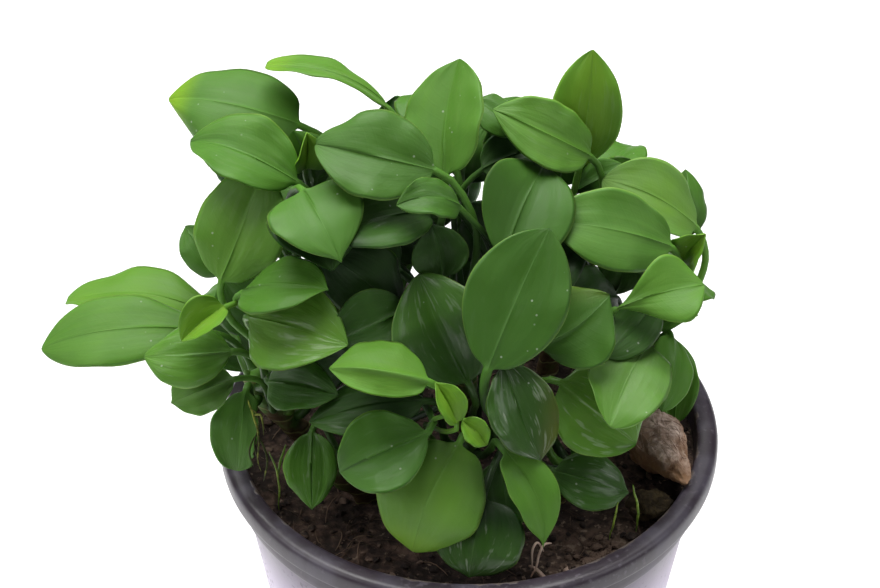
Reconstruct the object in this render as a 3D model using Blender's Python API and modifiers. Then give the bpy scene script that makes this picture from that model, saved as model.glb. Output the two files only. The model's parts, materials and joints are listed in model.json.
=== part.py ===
"""Potted anubias: a nursery pot of peat with nine rhizomes and the leaves that grow on them.

The pot stands on the plane Z = 0 with its axis on Z. The plant is laid out in millimetres measured
from the centre of the rim, X to the right, Y to the back and Z up, and is placed on the pot at the end.
"""
import itertools
import math
import random

import bmesh
import bpy
from mathutils import Matrix, Vector, noise
from mathutils.bvhtree import BVHTree

MM = 0.001

# Pot, in millimetres
RIM_RADIUS = 45.0
RIM_INNER_RADIUS = 41.2
POT_HEIGHT = 78.0
BASE_RADIUS = 32.0
WALL = 1.2
FLOOR = 1.6
BAND_HEIGHT = 4.2
SECOND_BAND_HEIGHT = 9.0
SECOND_BAND_RADIUS = 43.0
NECK_RADIUS = 41.6
POT_SIDES = 44
DRAIN_COUNT = 6
DRAIN_RADIUS = 2.6
DRAIN_RING_RADIUS = 22.0
DRAIN_SIDES = 16
BASE_CHAMFER = 0.8
RIM_CORNER = 1.1
RIM_CORNER_MIDDLE = 0.35
BAND_CORNER = 0.4

# Soil
SOIL_DEPTH = 5.0
SOIL_SIDES = 32
SOIL_ROUGHNESS = 0.9
SOIL_EDGE_GAP = 0.9  # below the rim, where the peat has shrunk back
SOIL_WALL_GAP = 0.5
SOIL_RINGS = (0.84, 0.62, 0.38, 0.16)  # shares of its radius

# Between pieces
GAP = 0.3
PETIOLE_GAP = 0.27
SETTLE_STEP = 0.1
SETTLE_STEPS = 60

# Leaves
BLADE_THICKNESS = 0.7
PETIOLE_RADIUS = 0.95
PETIOLE_TAPER = 0.2
BLADE_STATIONS = (0.07, 0.25, 0.5, 0.72, 0.9)
PETIOLE_STATIONS = (1.0, 0.7, 0.35, 0.0)  # from the blade down, so that the section never twists
ACROSS = (-1.0, -0.5, 0.0, 0.5, 1.0)
MARGIN_WAVE = 0.5
HOOK_START = 0.55
RHIZOME_RADIUS = 2.2
SUNK = 1.3
SUNK_TAPER = 0.9
RHIZOME_STATIONS = (0.0, 0.12, 0.24, 0.36, 0.48, 0.6, 0.72, 0.84, 0.94)
SIDES = 8
SLOT_TURN = math.radians(137.5)
SLOTS = 22
SLOTS_FROM = 0.42  # shares of the way up the rhizome
SLOTS_TO = 0.96

# Finishes
LEAF_GLOSS = 0.35
POT_COLOUR = (0.035, 0.033, 0.042)
SOIL_COLOUR = (0.020, 0.010, 0.007)
FIBRE_COLOUR = (0.16, 0.10, 0.065)
MOSS_COLOUR = (0.06, 0.05, 0.02)
ROOT_COLOUR = (0.45, 0.32, 0.26)
RHIZOME_COLOUR = (0.10, 0.20, 0.05)
TONES = {
    "plain": (0.07, 0.21, 0.05),
    "light": (0.16, 0.36, 0.08),
    "dark": (0.03, 0.10, 0.03),
    "young": (0.25, 0.50, 0.05),
}

# Each rhizome: its node, then its foot in the soil, its bend and its growing tip.
RHIZOMES = {
    "left": ("rhizome_left", (-27, -2, -7), (-34, -4, 4), (-39, -5, 15)),
    "upper_left": ("rhizome_upper_left", (-19, 12, -7), (-24, 13, 12), (-28, 12, 30)),
    "low_left": ("rhizome_low_left", (-17, -14, -7), (-21, -17, -1), (-25, -18, 6)),
    "front": ("rhizome_front", (-2, -13, -7), (-1, -18, 3), (0, -21, 14)),
    "low_right": ("rhizome_low_right", (14, -14, -7), (17, -17, -1), (19, -18, 6)),
    "right": ("rhizome_right", (22, 2, -7), (28, 3, 7), (31, 2, 21)),
    "centre": ("rhizome_centre", (0, 3, -7), (-1, 2, 12), (-1, 1, 27)),
    "back_left": ("rhizome_back_left", (-12, 24, -7), (-15, 26, 8), (-17, 27, 21)),
    "back_right": ("rhizome_back_right", (15, 20, -7), (17, 20, 10), (19, 19, 25)),
}

# Node, crown, blade base, blade tip, width, the way the upper side faces, arch, tone.
# A leaf with no node of its own is grown together with its rhizome.
LEAVES = (
    ("leaf_front_hero", "front", (2.5, -26, 33), (12.5, -13, 52), 17, (0, -1, 0.8), 1.0, "plain"),
    ("leaf_front_low", "front", (-2, -28.5, 19.5), (-10, -38, 3.5), 19, (0, -0.8, 1), 2.5, "plain"),
    ("leaf_front_bright", "front", (-7, -29, 33), (-23, -28, 35.5), 13, (0, -0.7, 1), 2.0, "light"),
    ("leaf_front_hanging", "front", (5.5, -30, 19), (12, -38, 4.7), 9.5, (0.4, -1, 0.6), 2.0, "light"),
    ("leaf_gloss", "front", (-0.5, -22, 27), (-9, -16, 44), 17, (-0.2, -1, 0.7), 0.5, "dark"),
    ("leaf_left_far", "left", (-46, -1, 21), (-75.5, -1, 18), 14, (0, -0.4, 1), 2.5, "light"),
    ("leaf_left_big", "left", (-42, -7, 36.5), (-34.5, 2, 54), 16, (-0.4, -1, 0.5), 1.5, "plain"),
    ("leaf_top_trough", "upper_left", (-29, 0, 52), (-47, 6, 57), 14, (0, -0.4, 1), 2.5, "plain"),
    ("leaf_top_fold", "upper_left", (-27.5, -6, 54.5), (-21, -19.5, 51), 16, (0.2, -0.8, 1), 1.5, "plain"),
    ("leaf_crest", "centre", (-4.3, -4, 56), (-2.2, 10, 70), 17.5, (-0.7, -1, 0.5), 0.5, "light"),
    ("leaf_crest_grey", "centre", (-6, -5, 57.5), (-25.5, -2, 61), 15.5, (0, -0.8, 1), 2.0, "plain"),
    ("leaf_crest_edge", "centre", (-14, 14, 57.5), (-35, 17, 63.5), 12, (0, 0.27, 0.9), 3.0, "light"),
    ("leaf_right_upright", "back_right", (18.8, 13, 46), (20.6, 16, 67.5), 12, (0, -1, 0.3), 0.5, "light"),
    ("leaf_right_crest", "back_right", (20, 11, 49.5), (3.5, 10, 60), 12, (0, -0.6, 1), 2.0, "plain"),
    ("leaf_right_grey", "right", (34, -2, 40), (13.5, -4, 47.5), 14, (0, -0.6, 1), 2.0, "plain"),
    ("leaf_right_light", "right", (39, 8, 36.5), (22, 12, 43), 13.5, (0.2, -0.6, 1), 2.5, "light"),
    ("leaf_right_wedge", "right", (24, -13, 35.3), (38.8, -10.5, 38.5), 12, (0.1, -0.45, 1), 1.5, "light"),
    ("leaf_right_mid", "front", (11, -20, 33), (22.8, -14.5, 39.5), 15, (0, -1, 0.9), 1.0, "plain"),
    ("leaf_right_square", "right", (30, -13, 28), (22.5, -30, 24), 14, (0, -0.8, 1), 1.0, "plain"),
    ("leaf_right_inner", "right", (33, -1.5, 19), (29.5, -16, 13), 8, (0.6, -0.5, 1), 1.0, "plain"),
    ("leaf_right_low", "low_right", (15, -22, 27), (28, -27, 18), 15, (0, -1, 0.9), 1.0, "dark"),
    ("", "front", (-2.5, -31, 26), (-6, -29, 33), 5, (0.5, -1, 0.8), 0.5, "young"),
    ("", "front", (-1.5, -30, 26), (2.5, -32.5, 22.5), 4.5, (0, -1, 1), 0.5, "young"),
    ("", "upper_left", (-28, -2, 51), (-27.6, -4.5, 58), 6.5, (0, -1, 0.5), 0.5, "young"),
    ("", "right", (37, 3, 34), (39.5, -2, 43), 7, (-0.5, -1, 0.5), 0.5, "young"),
    ("leaf_left_rear", "left", (-46, 12, 14), (-73.5, 16, 14.5), 15, (0, 0, 1), 3.0, "light"),
    ("leaf_left_curly", "left", (-40, -15, 28), (-55, -15, 27), 11, (0, -0.8, 1), 2.0, "plain"),
    ("leaf_left_glossy", "left", (-37, -12, 33), (-21, -24, 37), 16, (0, -1, 0.9), 1.5, "dark"),
    ("leaf_left_round", "left", (-38.5, -12, 17), (-40.5, -18, 3.6), 10.7, (-0.2, -1, 0.4), 1.1, "dark"),
    ("leaf_left_high", "left", (-38, -12, 38), (-23, -20, 44.5), 13, (0, -0.25, 1), 2.0, "plain"),
    ("", "left", (-41, -12.5, 35.5), (-48, -18, 32.5), 7, (0, -0.6, 1), 1.0, "young"),
    ("leaf_left_grey", "left", (-40, -15, 22), (-51, -16, 17.5), 8, (0, -1, 0.8), 1.5, "plain"),
    ("leaf_left_dark", "left", (-34, -17, 23), (-22.5, -25, 27), 10, (0, -1, 0.9), 1.0, "dark"),
    ("", "upper_left", (-27, 8, 45), (-27, 13, 54), 6, (0, -1, 0.3), 0.5, "light"),
    ("leaf_top_rear", "upper_left", (-29, 14, 52.5), (-52, 20, 55), 17, (0, -0.5, 1), 3.0, "plain"),
    ("leaf_top_under", "upper_left", (-28, -2, 47), (-23, -17, 43), 17, (0.3, -0.8, 1), 2.0, "plain"),
    ("leaf_behind_hero", "centre", (5, -11, 44), (13, 6, 52.5), 17, (0, -1, 0.9), 1.0, "plain"),
    ("", "centre", (-7, -5, 49), (-24, -13, 46), 12, (0, -0.3, 1), 2.5, "light"),
    ("leaf_front_olive", "front", (5, -23, 32), (11.5, -31, 18), 12, (0, -1, 0.7), 1.0, "dark"),
    ("leaf_low_right", "low_right", (14, -26, 11), (27, -27, 7), 10, (0, -0.9, 1), 1.0, "dark"),
    ("", "low_right", (6, -24, 12), (7, -33, 4), 11, (0, -1, 0.8), 1.0, "dark"),
    ("leaf_low_front", "low_right", (2, -31, 9), (-0.5, -42, 1.5), 16, (0, -0.6, 1), 1.0, "dark"),
    ("leaf_low_mid", "low_left", (-7, -28, 21), (-22, -32, 16), 14, (0, -0.9, 1), 1.5, "plain"),
    ("leaf_low_long", "low_left", (-8, -24, 24), (-27, -28, 25), 10, (0, -0.6, 1), 1.5, "dark"),
    ("", "right", (33, 4, 21), (40.5, -3, 25), 9, (0.2, -0.8, 1), 0.5, "plain"),
    ("", "right", (38, 8, 35), (38.5, 16, 44), 9, (0.5, -0.6, 0.8), 1.0, "plain"),
    ("", "centre", (-2, -10, 54), (-12, -13, 57), 7, (0, -0.5, 1), 1.5, "light"),
    ("", "centre", (2, 11, 47), (12, 14, 50), 8, (0, -0.8, 1), 1.0, "dark"),
    ("", "centre", (8, 12, 54), (1, 16, 58), 7, (0, -0.4, 1), 1.0, "plain"),
    ("", "back_right", (17, 12, 42), (24, 12, 48), 7, (0, -0.8, 1), 1.0, "dark"),
    ("leaf_centre_dark", "centre", (-5, -10, 40), (-7, -4, 50), 12, (0, -1, 0.6), 0.5, "dark"),
    ("leaf_centre_left", "centre", (-12, -14, 36), (-24, -13, 47), 13, (-0.2, -1, 0.8), 1.0, "dark"),
    ("leaf_centre_low", "centre", (-11, -15, 37), (-22, -23, 37), 12, (0, -1, 1), 1.0, "dark"),
    ("leaf_right_under", "right", (31, -5, 30), (22, -19, 30), 8, (0, -0.8, 1), 1.0, "dark"),
    ("", "right", (35, -4, 2), (35.5, 5, 14), 8, (-0.5, -1, 0.3), 0.5, "dark"),
    ("leaf_low_left", "low_left", (-27, -18, 13), (-27, -27, 3), 9, (0, -1, 0.5), 1.0, "dark"),
    ("", "left", (-44, 8, 26.5), (-50.5, 14, 33), 8, (-0.5, -0.6, 1), 1.0, "light"),
    ("", "upper_left", (-36, 9, 42), (-45, 11, 51), 12, (0.3, 1, 0.4), 1.0, "dark"),
    ("leaf_back_far_left", "back_left", (-28, 32, 17), (-47, 37, 15), 16, (-0.2, 0.3, 1), 2.5, "plain"),
    ("leaf_back_left_high", "back_left", (-22, 33, 28), (-34, 42, 33), 14, (-0.3, 0.5, 1), 1.5, "light"),
    ("", "back_left", (-18, 37, 19), (-22, 46, 7), 13, (0, 1, 0.7), 1.5, "plain"),
    ("", "left", (-38, 20, 13), (-50, 29, 7), 14, (-0.5, 0.3, 1), 1.5, "plain"),
    ("", "upper_left", (-35, 23, 43), (-47, 33, 44), 14, (-0.4, 0.5, 1), 2.0, "plain"),
    ("leaf_back_top", "back_left", (-12, 30, 34), (-13, 38, 45), 13, (0, 0.8, 0.8), 1.0, "plain"),
    ("", "back_left", (-5, 36, 27), (-1, 46, 14), 13, (0, 1, 0.8), 1.5, "plain"),
    ("", "back_right", (3, 31, 33), (5, 42, 42), 14, (0, 0.8, 1), 1.5, "light"),
    ("", "centre", (-4, 20, 48), (-8, 33, 49), 13, (0, 0.5, 1), 1.5, "plain"),
    ("", "back_right", (17, 33, 22), (21, 43, 9), 13, (0.2, 1, 0.7), 1.5, "plain"),
    ("leaf_back_far_right", "back_right", (28, 25, 28), (39, 34, 28), 14, (0.3, 0.4, 1), 2.0, "light"),
    ("", "back_right", (29, 22, 16), (41, 26, 12), 13, (0.4, 0.3, 1), 2.0, "plain"),
    ("", "back_right", (22, 26, 34), (31, 36, 36), 13, (0.3, 0.6, 1), 1.5, "plain"),
    ("", "right", (36, 12, 20), (42, 24, 14), 12, (0.8, 0.2, 1), 1.5, "dark"),
    ("", "centre", (-12, -6, 38), (-26, -4, 44), 14, (0, -0.9, 1), 1.0, "dark"),
    ("", "centre", (-14, 3, 34), (-28, 3, 42), 14, (0, -0.8, 1), 1.0, "dark"),
    ("", "centre", (4, -4, 36), (19, -6, 43), 14, (0, -0.9, 1), 1.0, "dark"),
    ("", "back_right", (15, 9, 36), (11, -3, 48), 13, (0, -1, 0.8), 1.0, "dark"),
    ("", "back_right", (24, 8, 34), (32, -2, 42), 13, (0, -0.8, 1), 1.0, "dark"),
    ("", "centre", (-5, 8, 44), (-19, 11, 52), 14, (0, -0.6, 1), 1.0, "plain"),
    ("", "upper_left", (-24, 4, 30), (-15, -3, 36), 12, (0, -0.9, 1), 1.0, "dark"),
    ("", "back_left", (-16, 20, 36), (-28, 17, 45), 14, (0, -0.5, 1), 1.0, "plain"),
    ("", "back_right", (12, 21, 42), (2, 24, 53), 13, (0, -0.3, 1), 1.0, "plain"),
    ("", "back_right", (24, 17, 36), (32, 15, 44), 13, (0, -0.6, 1), 1.0, "dark"),
    ("", "low_left", (-19, -10, 12), (-8, -14, 21), 13, (0, -1, 1), 1.0, "dark"),
    ("", "low_right", (18, -12, 14), (29, -13, 15), 12, (0, -0.8, 1), 1.0, "dark"),
    ("", "right", (26, 6, 23), (18, -5, 31), 13, (0, -1, 1), 1.0, "dark"),
    ("", "left", (-32, -2, 20), (-22, -11, 24), 13, (0, -1, 1), 1.0, "dark"),
    ("", "centre", (-1, 14, 40), (2, 12, 52), 10, (0, -1, 0.4), 0.5, "dark"),
    ("", "centre", (4, 12, 28), (1, 9, 40), 11, (0, -1, 0.5), 0.5, "dark"),
    ("", "centre", (-8, 6, 30), (-12, 2, 42), 11, (0, -1, 0.5), 0.5, "dark"),
    ("", "right", (26, 14, 18), (27, 8, 30), 10, (0, -1, 0.5), 0.5, "dark"),
    ("", "upper_left", (-27, 10, 47), (-30, 8, 58), 9, (0, -1, 0.4), 0.5, "plain"),
    ("", "back_left", (-8, 37, 15), (-8, 45, 3), 12, (0, 1, 0.6), 1.0, "plain"),
    ("", "back_right", (8, 36, 17), (11, 45, 5), 13, (0, 1, 0.6), 1.0, "plain"),
    ("", "back_right", (26, 30, 17), (35, 38, 8), 13, (0.5, 0.8, 1), 1.5, "plain"),
    ("", "back_left", (-26, 28, 9), (-36, 36, 5), 13, (-0.4, 0.6, 1), 1.5, "plain"),
    ("", "back_left", (-13, 34, 33), (-20, 45, 27), 14, (-0.2, 1, 1), 1.5, "plain"),
    ("", "back_right", (12, 33, 34), (15, 45, 27), 14, (0.1, 1, 1), 1.5, "light"),
    ("", "back_right", (24, 29, 34), (32, 39, 29), 14, (0.4, 0.8, 1), 1.5, "plain"),
    ("", "back_left", (-28, 26, 30), (-42, 32, 28), 14, (-0.4, 0.4, 1), 1.5, "plain"),
    ("", "centre", (-2, 26, 38), (-4, 38, 33), 13, (0, 0.7, 1), 1.5, "plain"),
    ("", "back_left", (-12, 20, 38), (-16, 15, 50), 11, (0, -1, 0.6), 0.5, "dark"),
    ("", "back_left", (-8, 21, 27), (-6, 17, 39), 11, (0, -1, 0.5), 0.5, "dark"),
    ("", "back_right", (16, 17, 38), (15, 17, 50), 11, (0, -1, 0.5), 0.5, "dark"),
    ("", "back_right", (20, 12, 28), (15, 10, 40), 11, (0, -1, 0.5), 0.5, "dark"),
    ("", "back_right", (7, 20, 45), (8, 22, 56), 11, (0, -1, 0.5), 0.5, "plain"),
    ("", "back_left", (-3, 24, 11), (0, 22, 26), 12, (0, -1, 0.5), 0.5, "dark"),
    ("", "upper_left", (-38, 9, 4), (-44, 8, 15), 12, (0, -1, 0.4), 0.5, "dark"),
    ("", "left", (-35, 1, 20), (-43, 3, 30), 12, (0, -1, 0.4), 0.5, "dark"),
)

# Leaves that hold their blade in their own way: how steeply the halves rise from the midrib, how much
# they turn down again, the waves of the margin, how far the midrib bows sideways and the tip drops in
# millimetres, and the twist in radians.
HABITS = {
    "young": {"fold": 0.9, "camber": 0.0, "wave": 0.3, "sway": 0.0, "hook": 0.0, "twist": 0.1},
    "leaf_front_hero": {"fold": 0.14, "camber": 0.10, "wave": 0.4, "sway": 0.3, "hook": 0.3, "twist": 0.0},
    "leaf_front_low": {"fold": 0.20, "camber": 0.42, "wave": 0.8, "sway": -0.8, "hook": 1.5, "twist": 0.12},
    "leaf_front_bright": {"fold": -0.5, "camber": -0.1, "wave": 0.4, "sway": 0.0, "hook": 1.2, "twist": 0.0},
    "leaf_front_hanging": {"fold": 0.30, "camber": 0.0, "wave": 0.5, "sway": 1.7, "hook": 0.2, "twist": 0.3},
    "leaf_crest": {"fold": 0.32, "camber": 0.10, "wave": 0.8, "sway": 0.8, "hook": 0.2, "twist": -0.1},
    "leaf_crest_edge": {"fold": 0.20, "camber": 0.10, "wave": 0.6, "sway": 0.0, "hook": -0.6, "twist": 0.1},
    "leaf_top_trough": {"fold": 0.50, "camber": 0.12, "wave": 1.0, "sway": 0.4, "hook": 1.6, "twist": 0.1},
    "leaf_top_rear": {"fold": 0.16, "camber": 0.30, "wave": 1.6, "sway": 0.8, "hook": 1.8, "twist": -0.2},
    "leaf_left_far": {"fold": 0.20, "camber": 0.16, "wave": 0.5, "sway": -0.5, "hook": 1.2, "twist": 0.0},
    "leaf_left_round": {"fold": 0.16, "camber": 0.14, "wave": 0.4, "sway": 0.3, "hook": 0.5, "twist": 0.0},
    "leaf_gloss": {"fold": 0.30, "camber": -0.20, "wave": 0.8, "sway": 0.4, "hook": 0.8, "twist": 0.1},
}

# Lumps of growing medium: node, centre, half sizes, heading of the point, how pointed, colour.
LUMPS = (
    ("fibre_plug", (33.6, -8, 3), (7.6, 5.4, 5.4), -68, 0.45, FIBRE_COLOUR),
    ("moss_lump", (31, -20.5, 1), (3.6, 3.0, 2.6), 20, 0.2, MOSS_COLOUR),
)
LUMP_CRUMPLE = 0.16
LUMP_GRAIN = 2.1
ROOT_RADIUS = 0.5
ROOTS = {
    "root_front": ((10, -33, 0), (11.5, -35, 0.3), (13, -36.5, 0.2), (14.5, -37, 0)),
    "root_right": ((16, -34, 0), (17, -35.5, 0.3), (17, -37, 0)),
}

# Ways a leaf gives way to its neighbours: shift along its face in mm, then pitch and roll in
# degrees, then how much smaller it grows.
SHIFTS = (0.0, 0.9, -0.9, 1.8, -1.8, 2.8, -2.8, 4.0, -4.0, 5.5, -5.5)
PITCHES = (0, 8, -8, 16, -16)
ROLLS = (0, 12, -12, 24, -24)
SIZES = (1.0, 0.9, 0.8, 0.7)
PITCH_COST = 1 / 8
ROLL_COST = 1 / 10
SIZE_COST = 14
STRAIGHT_COST = 1.6  # above 1, so that a short petiole is worth having even where it runs straight
PETIOLE_BOWS = ((0.4, 0.4), (0.6, 0.4), (0.25, 0.3), (0.3, 0.7), (0.8, 0.3), (0.15, 0.5))
SLOT_TRIES = 14
STUB_LENGTH = 2.0  # of petiole behind a blade that is tried before its petiole is
STUB_BOW = (0.3, 0.3)
LEAF_SEED = 34


def clear_scene():
    for old in list(bpy.data.objects):
        bpy.data.objects.remove(old, do_unlink=True)


def collection(name):
    group = bpy.data.collections.new(name)
    bpy.context.scene.collection.children.link(group)
    return group


def material(name, colour, roughness):
    surface = bpy.data.materials.new(name)
    surface.use_nodes = True
    shader = surface.node_tree.nodes["Principled BSDF"]
    shader.inputs["Base Color"].default_value = (*colour, 1.0)
    shader.inputs["Roughness"].default_value = roughness
    shader.inputs["Metallic"].default_value = 0.0
    surface.diffuse_color = (*colour, 1.0)
    return surface


def add_object(name, bm, group, colour, roughness, height=0.0):
    """Turn a bmesh in millimetres into a named object in metres, raised by height."""
    bmesh.ops.recalc_face_normals(bm, faces=bm.faces)
    bmesh.ops.transform(bm, matrix=Matrix.Scale(MM, 4), verts=bm.verts)
    mesh = bpy.data.meshes.new(name)
    bm.to_mesh(mesh)
    bm.free()
    mesh.materials.append(material(name, colour, roughness))
    piece = bpy.data.objects.new(name, mesh)
    piece.location.z = height * MM
    group.objects.link(piece)
    return piece


# ---- pot and soil

def pot_inner_radius(z):
    """Inner radius of the wall at a height above the base."""
    inside_base = BASE_RADIUS - WALL
    inside_neck = NECK_RADIUS - WALL
    return inside_base + (inside_neck - inside_base) * z / (POT_HEIGHT - SECOND_BAND_HEIGHT)


def pot_profile():
    """Half section of the pot from the middle of its underside, outside, over the rim, to inside."""
    top = POT_HEIGHT
    band = top - BAND_HEIGHT
    second = top - SECOND_BAND_HEIGHT
    return (
        (0.0, 0.0), (BASE_RADIUS - BASE_CHAMFER, 0.0), (BASE_RADIUS, BASE_CHAMFER),
        (NECK_RADIUS, second), (SECOND_BAND_RADIUS, second + BAND_CORNER / 2), (SECOND_BAND_RADIUS, band),
        (RIM_RADIUS - BAND_CORNER, band), (RIM_RADIUS, band + BAND_CORNER), (RIM_RADIUS, top - RIM_CORNER),
        (RIM_RADIUS - RIM_CORNER_MIDDLE, top - RIM_CORNER_MIDDLE), (RIM_RADIUS - RIM_CORNER, top),
        (RIM_INNER_RADIUS + BAND_CORNER, top - BAND_CORNER / 2), (RIM_INNER_RADIUS, top - 2 * BAND_CORNER),
        (NECK_RADIUS - WALL, second), (BASE_RADIUS - WALL, FLOOR), (0.0, FLOOR),
    )


def turned(name, profile, sides, group, colour, roughness):
    """An object turned about Z from a half section in millimetres."""
    bm = bmesh.new()
    verts = [bm.verts.new((radius, 0.0, z)) for radius, z in profile]
    for a, b in zip(verts, verts[1:]):
        bm.edges.new((a, b))
    piece = add_object(name, bm, group, colour, roughness)
    screw = piece.modifiers.new("Turn", "SCREW")
    screw.angle = 2 * math.pi
    screw.steps = sides
    screw.render_steps = sides
    screw.use_merge_vertices = True
    screw.merge_threshold = 0.00001
    screw.use_normal_calculate = True
    return piece


def finished_bmesh(piece):
    """What a piece looks like after its modifiers, in millimetres from the centre of the rim."""
    bpy.context.view_layer.update()
    bm = bmesh.new()
    bm.from_object(piece, bpy.context.evaluated_depsgraph_get())
    bmesh.ops.transform(bm, matrix=Matrix.Scale(1 / MM, 4), verts=bm.verts)
    bmesh.ops.translate(bm, verts=bm.verts, vec=(0, 0, -POT_HEIGHT))
    bmesh.ops.recalc_face_normals(bm, faces=bm.faces)
    return bm


def drill(pot, cutters):
    """Drain holes in a ring through the floor of the pot."""
    for index in range(DRAIN_COUNT):
        turn = 2 * math.pi * index / DRAIN_COUNT
        bpy.ops.mesh.primitive_cylinder_add(
            vertices=DRAIN_SIDES, radius=DRAIN_RADIUS * MM, depth=4 * FLOOR * MM,
            location=(DRAIN_RING_RADIUS * MM * math.cos(turn), DRAIN_RING_RADIUS * MM * math.sin(turn), 0))
        hole = bpy.context.object
        hole.name = f"drain_cutter_{index + 1}"
        hole.hide_render = True
        hole.display_type = "WIRE"
        for owner in list(hole.users_collection):
            owner.objects.unlink(hole)
        cutters.objects.link(hole)
        cut = pot.modifiers.new(f"Drain {index + 1}", "BOOLEAN")
        cut.operation = "DIFFERENCE"
        cut.solver = "EXACT"
        cut.object = hole


def soil_profile():
    """Half section of the plug of peat, just clear of the pot all round."""
    low = FLOOR + GAP
    shoulder = POT_HEIGHT - SECOND_BAND_HEIGHT
    edge = RIM_INNER_RADIUS - SOIL_EDGE_GAP
    top = POT_HEIGHT - SOIL_DEPTH
    outline = [(0.0, low), (pot_inner_radius(low) - SOIL_WALL_GAP, low),
               (pot_inner_radius(shoulder) - SOIL_WALL_GAP, shoulder), (edge, top)]
    return outline + [(edge * part, top) for part in SOIL_RINGS] + [(0.0, top)]


def roughen_soil(bm):
    """Lift and sink the top of the peat in soft lumps."""
    for vert in bm.verts:
        if vert.co.z > -SECOND_BAND_HEIGHT + 1.0:
            lumps = noise.noise(vert.co * 0.11) + 0.6 * noise.noise(vert.co * 0.31)
            vert.co.z += SOIL_ROUGHNESS * lumps


def lump_bmesh(centre, size, heading, point):
    """A crumpled lump of fibre: a ball drawn out to a point along heading, in degrees."""
    bm = bmesh.new()
    bmesh.ops.create_icosphere(bm, subdivisions=3, radius=1.0)
    for vert in bm.verts:
        crumple = 1.0 + LUMP_CRUMPLE * noise.noise(vert.co * LUMP_GRAIN + Vector(centre))
        taper = 1.0 - point * max(0.0, vert.co.x)
        vert.co = Vector((vert.co.x * crumple * size[0] * (1.0 + point * max(0.0, vert.co.x)),
                          vert.co.y * crumple * size[1] * taper, vert.co.z * crumple * size[2] * taper))
    turn = Matrix.Rotation(math.radians(heading), 3, "Z")
    bmesh.ops.rotate(bm, verts=bm.verts, cent=(0, 0, 0), matrix=turn)
    bmesh.ops.translate(bm, verts=bm.verts, vec=Vector(centre))
    return bm


# ---- rhizomes

def bend(a, b, c, t):
    """Point and direction on the curve from a to c that passes near b."""
    a, b, c = Vector(a), Vector(b), Vector(c)
    point = a * (1 - t) ** 2 + b * 2 * t * (1 - t) + c * t ** 2
    along = (b - a) * 2 * (1 - t) + (c - b) * 2 * t
    return point, along.normalized()


def frame_of(along, facing):
    """Side and face directions of a piece that runs along one direction and faces another."""
    face = (facing - along * facing.dot(along)).normalized()
    return face.cross(along), face


def rhizome_radius(t):
    """The stem swells at each leaf scar and narrows to its growing tip."""
    scars = 0.16 * math.sin(t * 34.0)
    return (RHIZOME_RADIUS + scars) * (1.0 - 0.45 * max(0.0, t - 0.8) / 0.2)


def rhizome_bmesh(path):
    _, foot, middle, tip = path
    bm = bmesh.new()
    rings = []
    for t in RHIZOME_STATIONS:
        point, along = bend(foot, middle, tip, t)
        if t == 0.0:
            along = Vector((0, 0, 1))
        side, face = frame_of(along, Vector((0, 1, 0.2)))
        ring = []
        for step in range(SIDES):
            turn = 2 * math.pi * step / SIDES
            ring.append(bm.verts.new(point + (side * math.cos(turn) + face * math.sin(turn))
                                     * rhizome_radius(t)))
        rings.append(ring)
    _, along = bend(foot, middle, tip, 1.0)
    skin(bm, rings, Vector(tip) + along * RHIZOME_RADIUS * 0.6)
    return bm


def skin(bm, rings, tip):
    """Join a row of equal rings with quads, close the first and draw the last to a tip."""
    for lower, upper in zip(rings, rings[1:]):
        for step in range(SIDES):
            after = (step + 1) % SIDES
            bm.faces.new((lower[step], lower[after], upper[after], upper[step]))
    bm.faces.new(rings[0][::-1])
    point = bm.verts.new(tip)
    for step in range(SIDES):
        bm.faces.new((rings[-1][step], rings[-1][(step + 1) % SIDES], point))


def slots_of(path):
    """Places on a rhizome where petioles grow, in a spiral up the stem: foot and outward direction."""
    _, foot, middle, tip = path
    places = []
    for index in range(SLOTS):
        t = SLOTS_FROM + (SLOTS_TO - SLOTS_FROM) * index / (SLOTS - 1)
        point, along = bend(foot, middle, tip, t)
        side, face = frame_of(along, Vector((0, 1, 0.2)))
        turn = index * SLOT_TURN
        outward = side * math.cos(turn) + face * math.sin(turn)
        reach = rhizome_radius(t) + GAP + SETTLE_STEP
        places.append((point + outward * reach, outward, (outward + along * 0.8).normalized()))
    return places


# ---- leaves

def blade_half_width(t):
    """Half width of a blade of width 1, from its base at 0 to its tip at 1."""
    return 0.5 * math.sin(math.pi * t ** 0.85) ** 0.7


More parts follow.
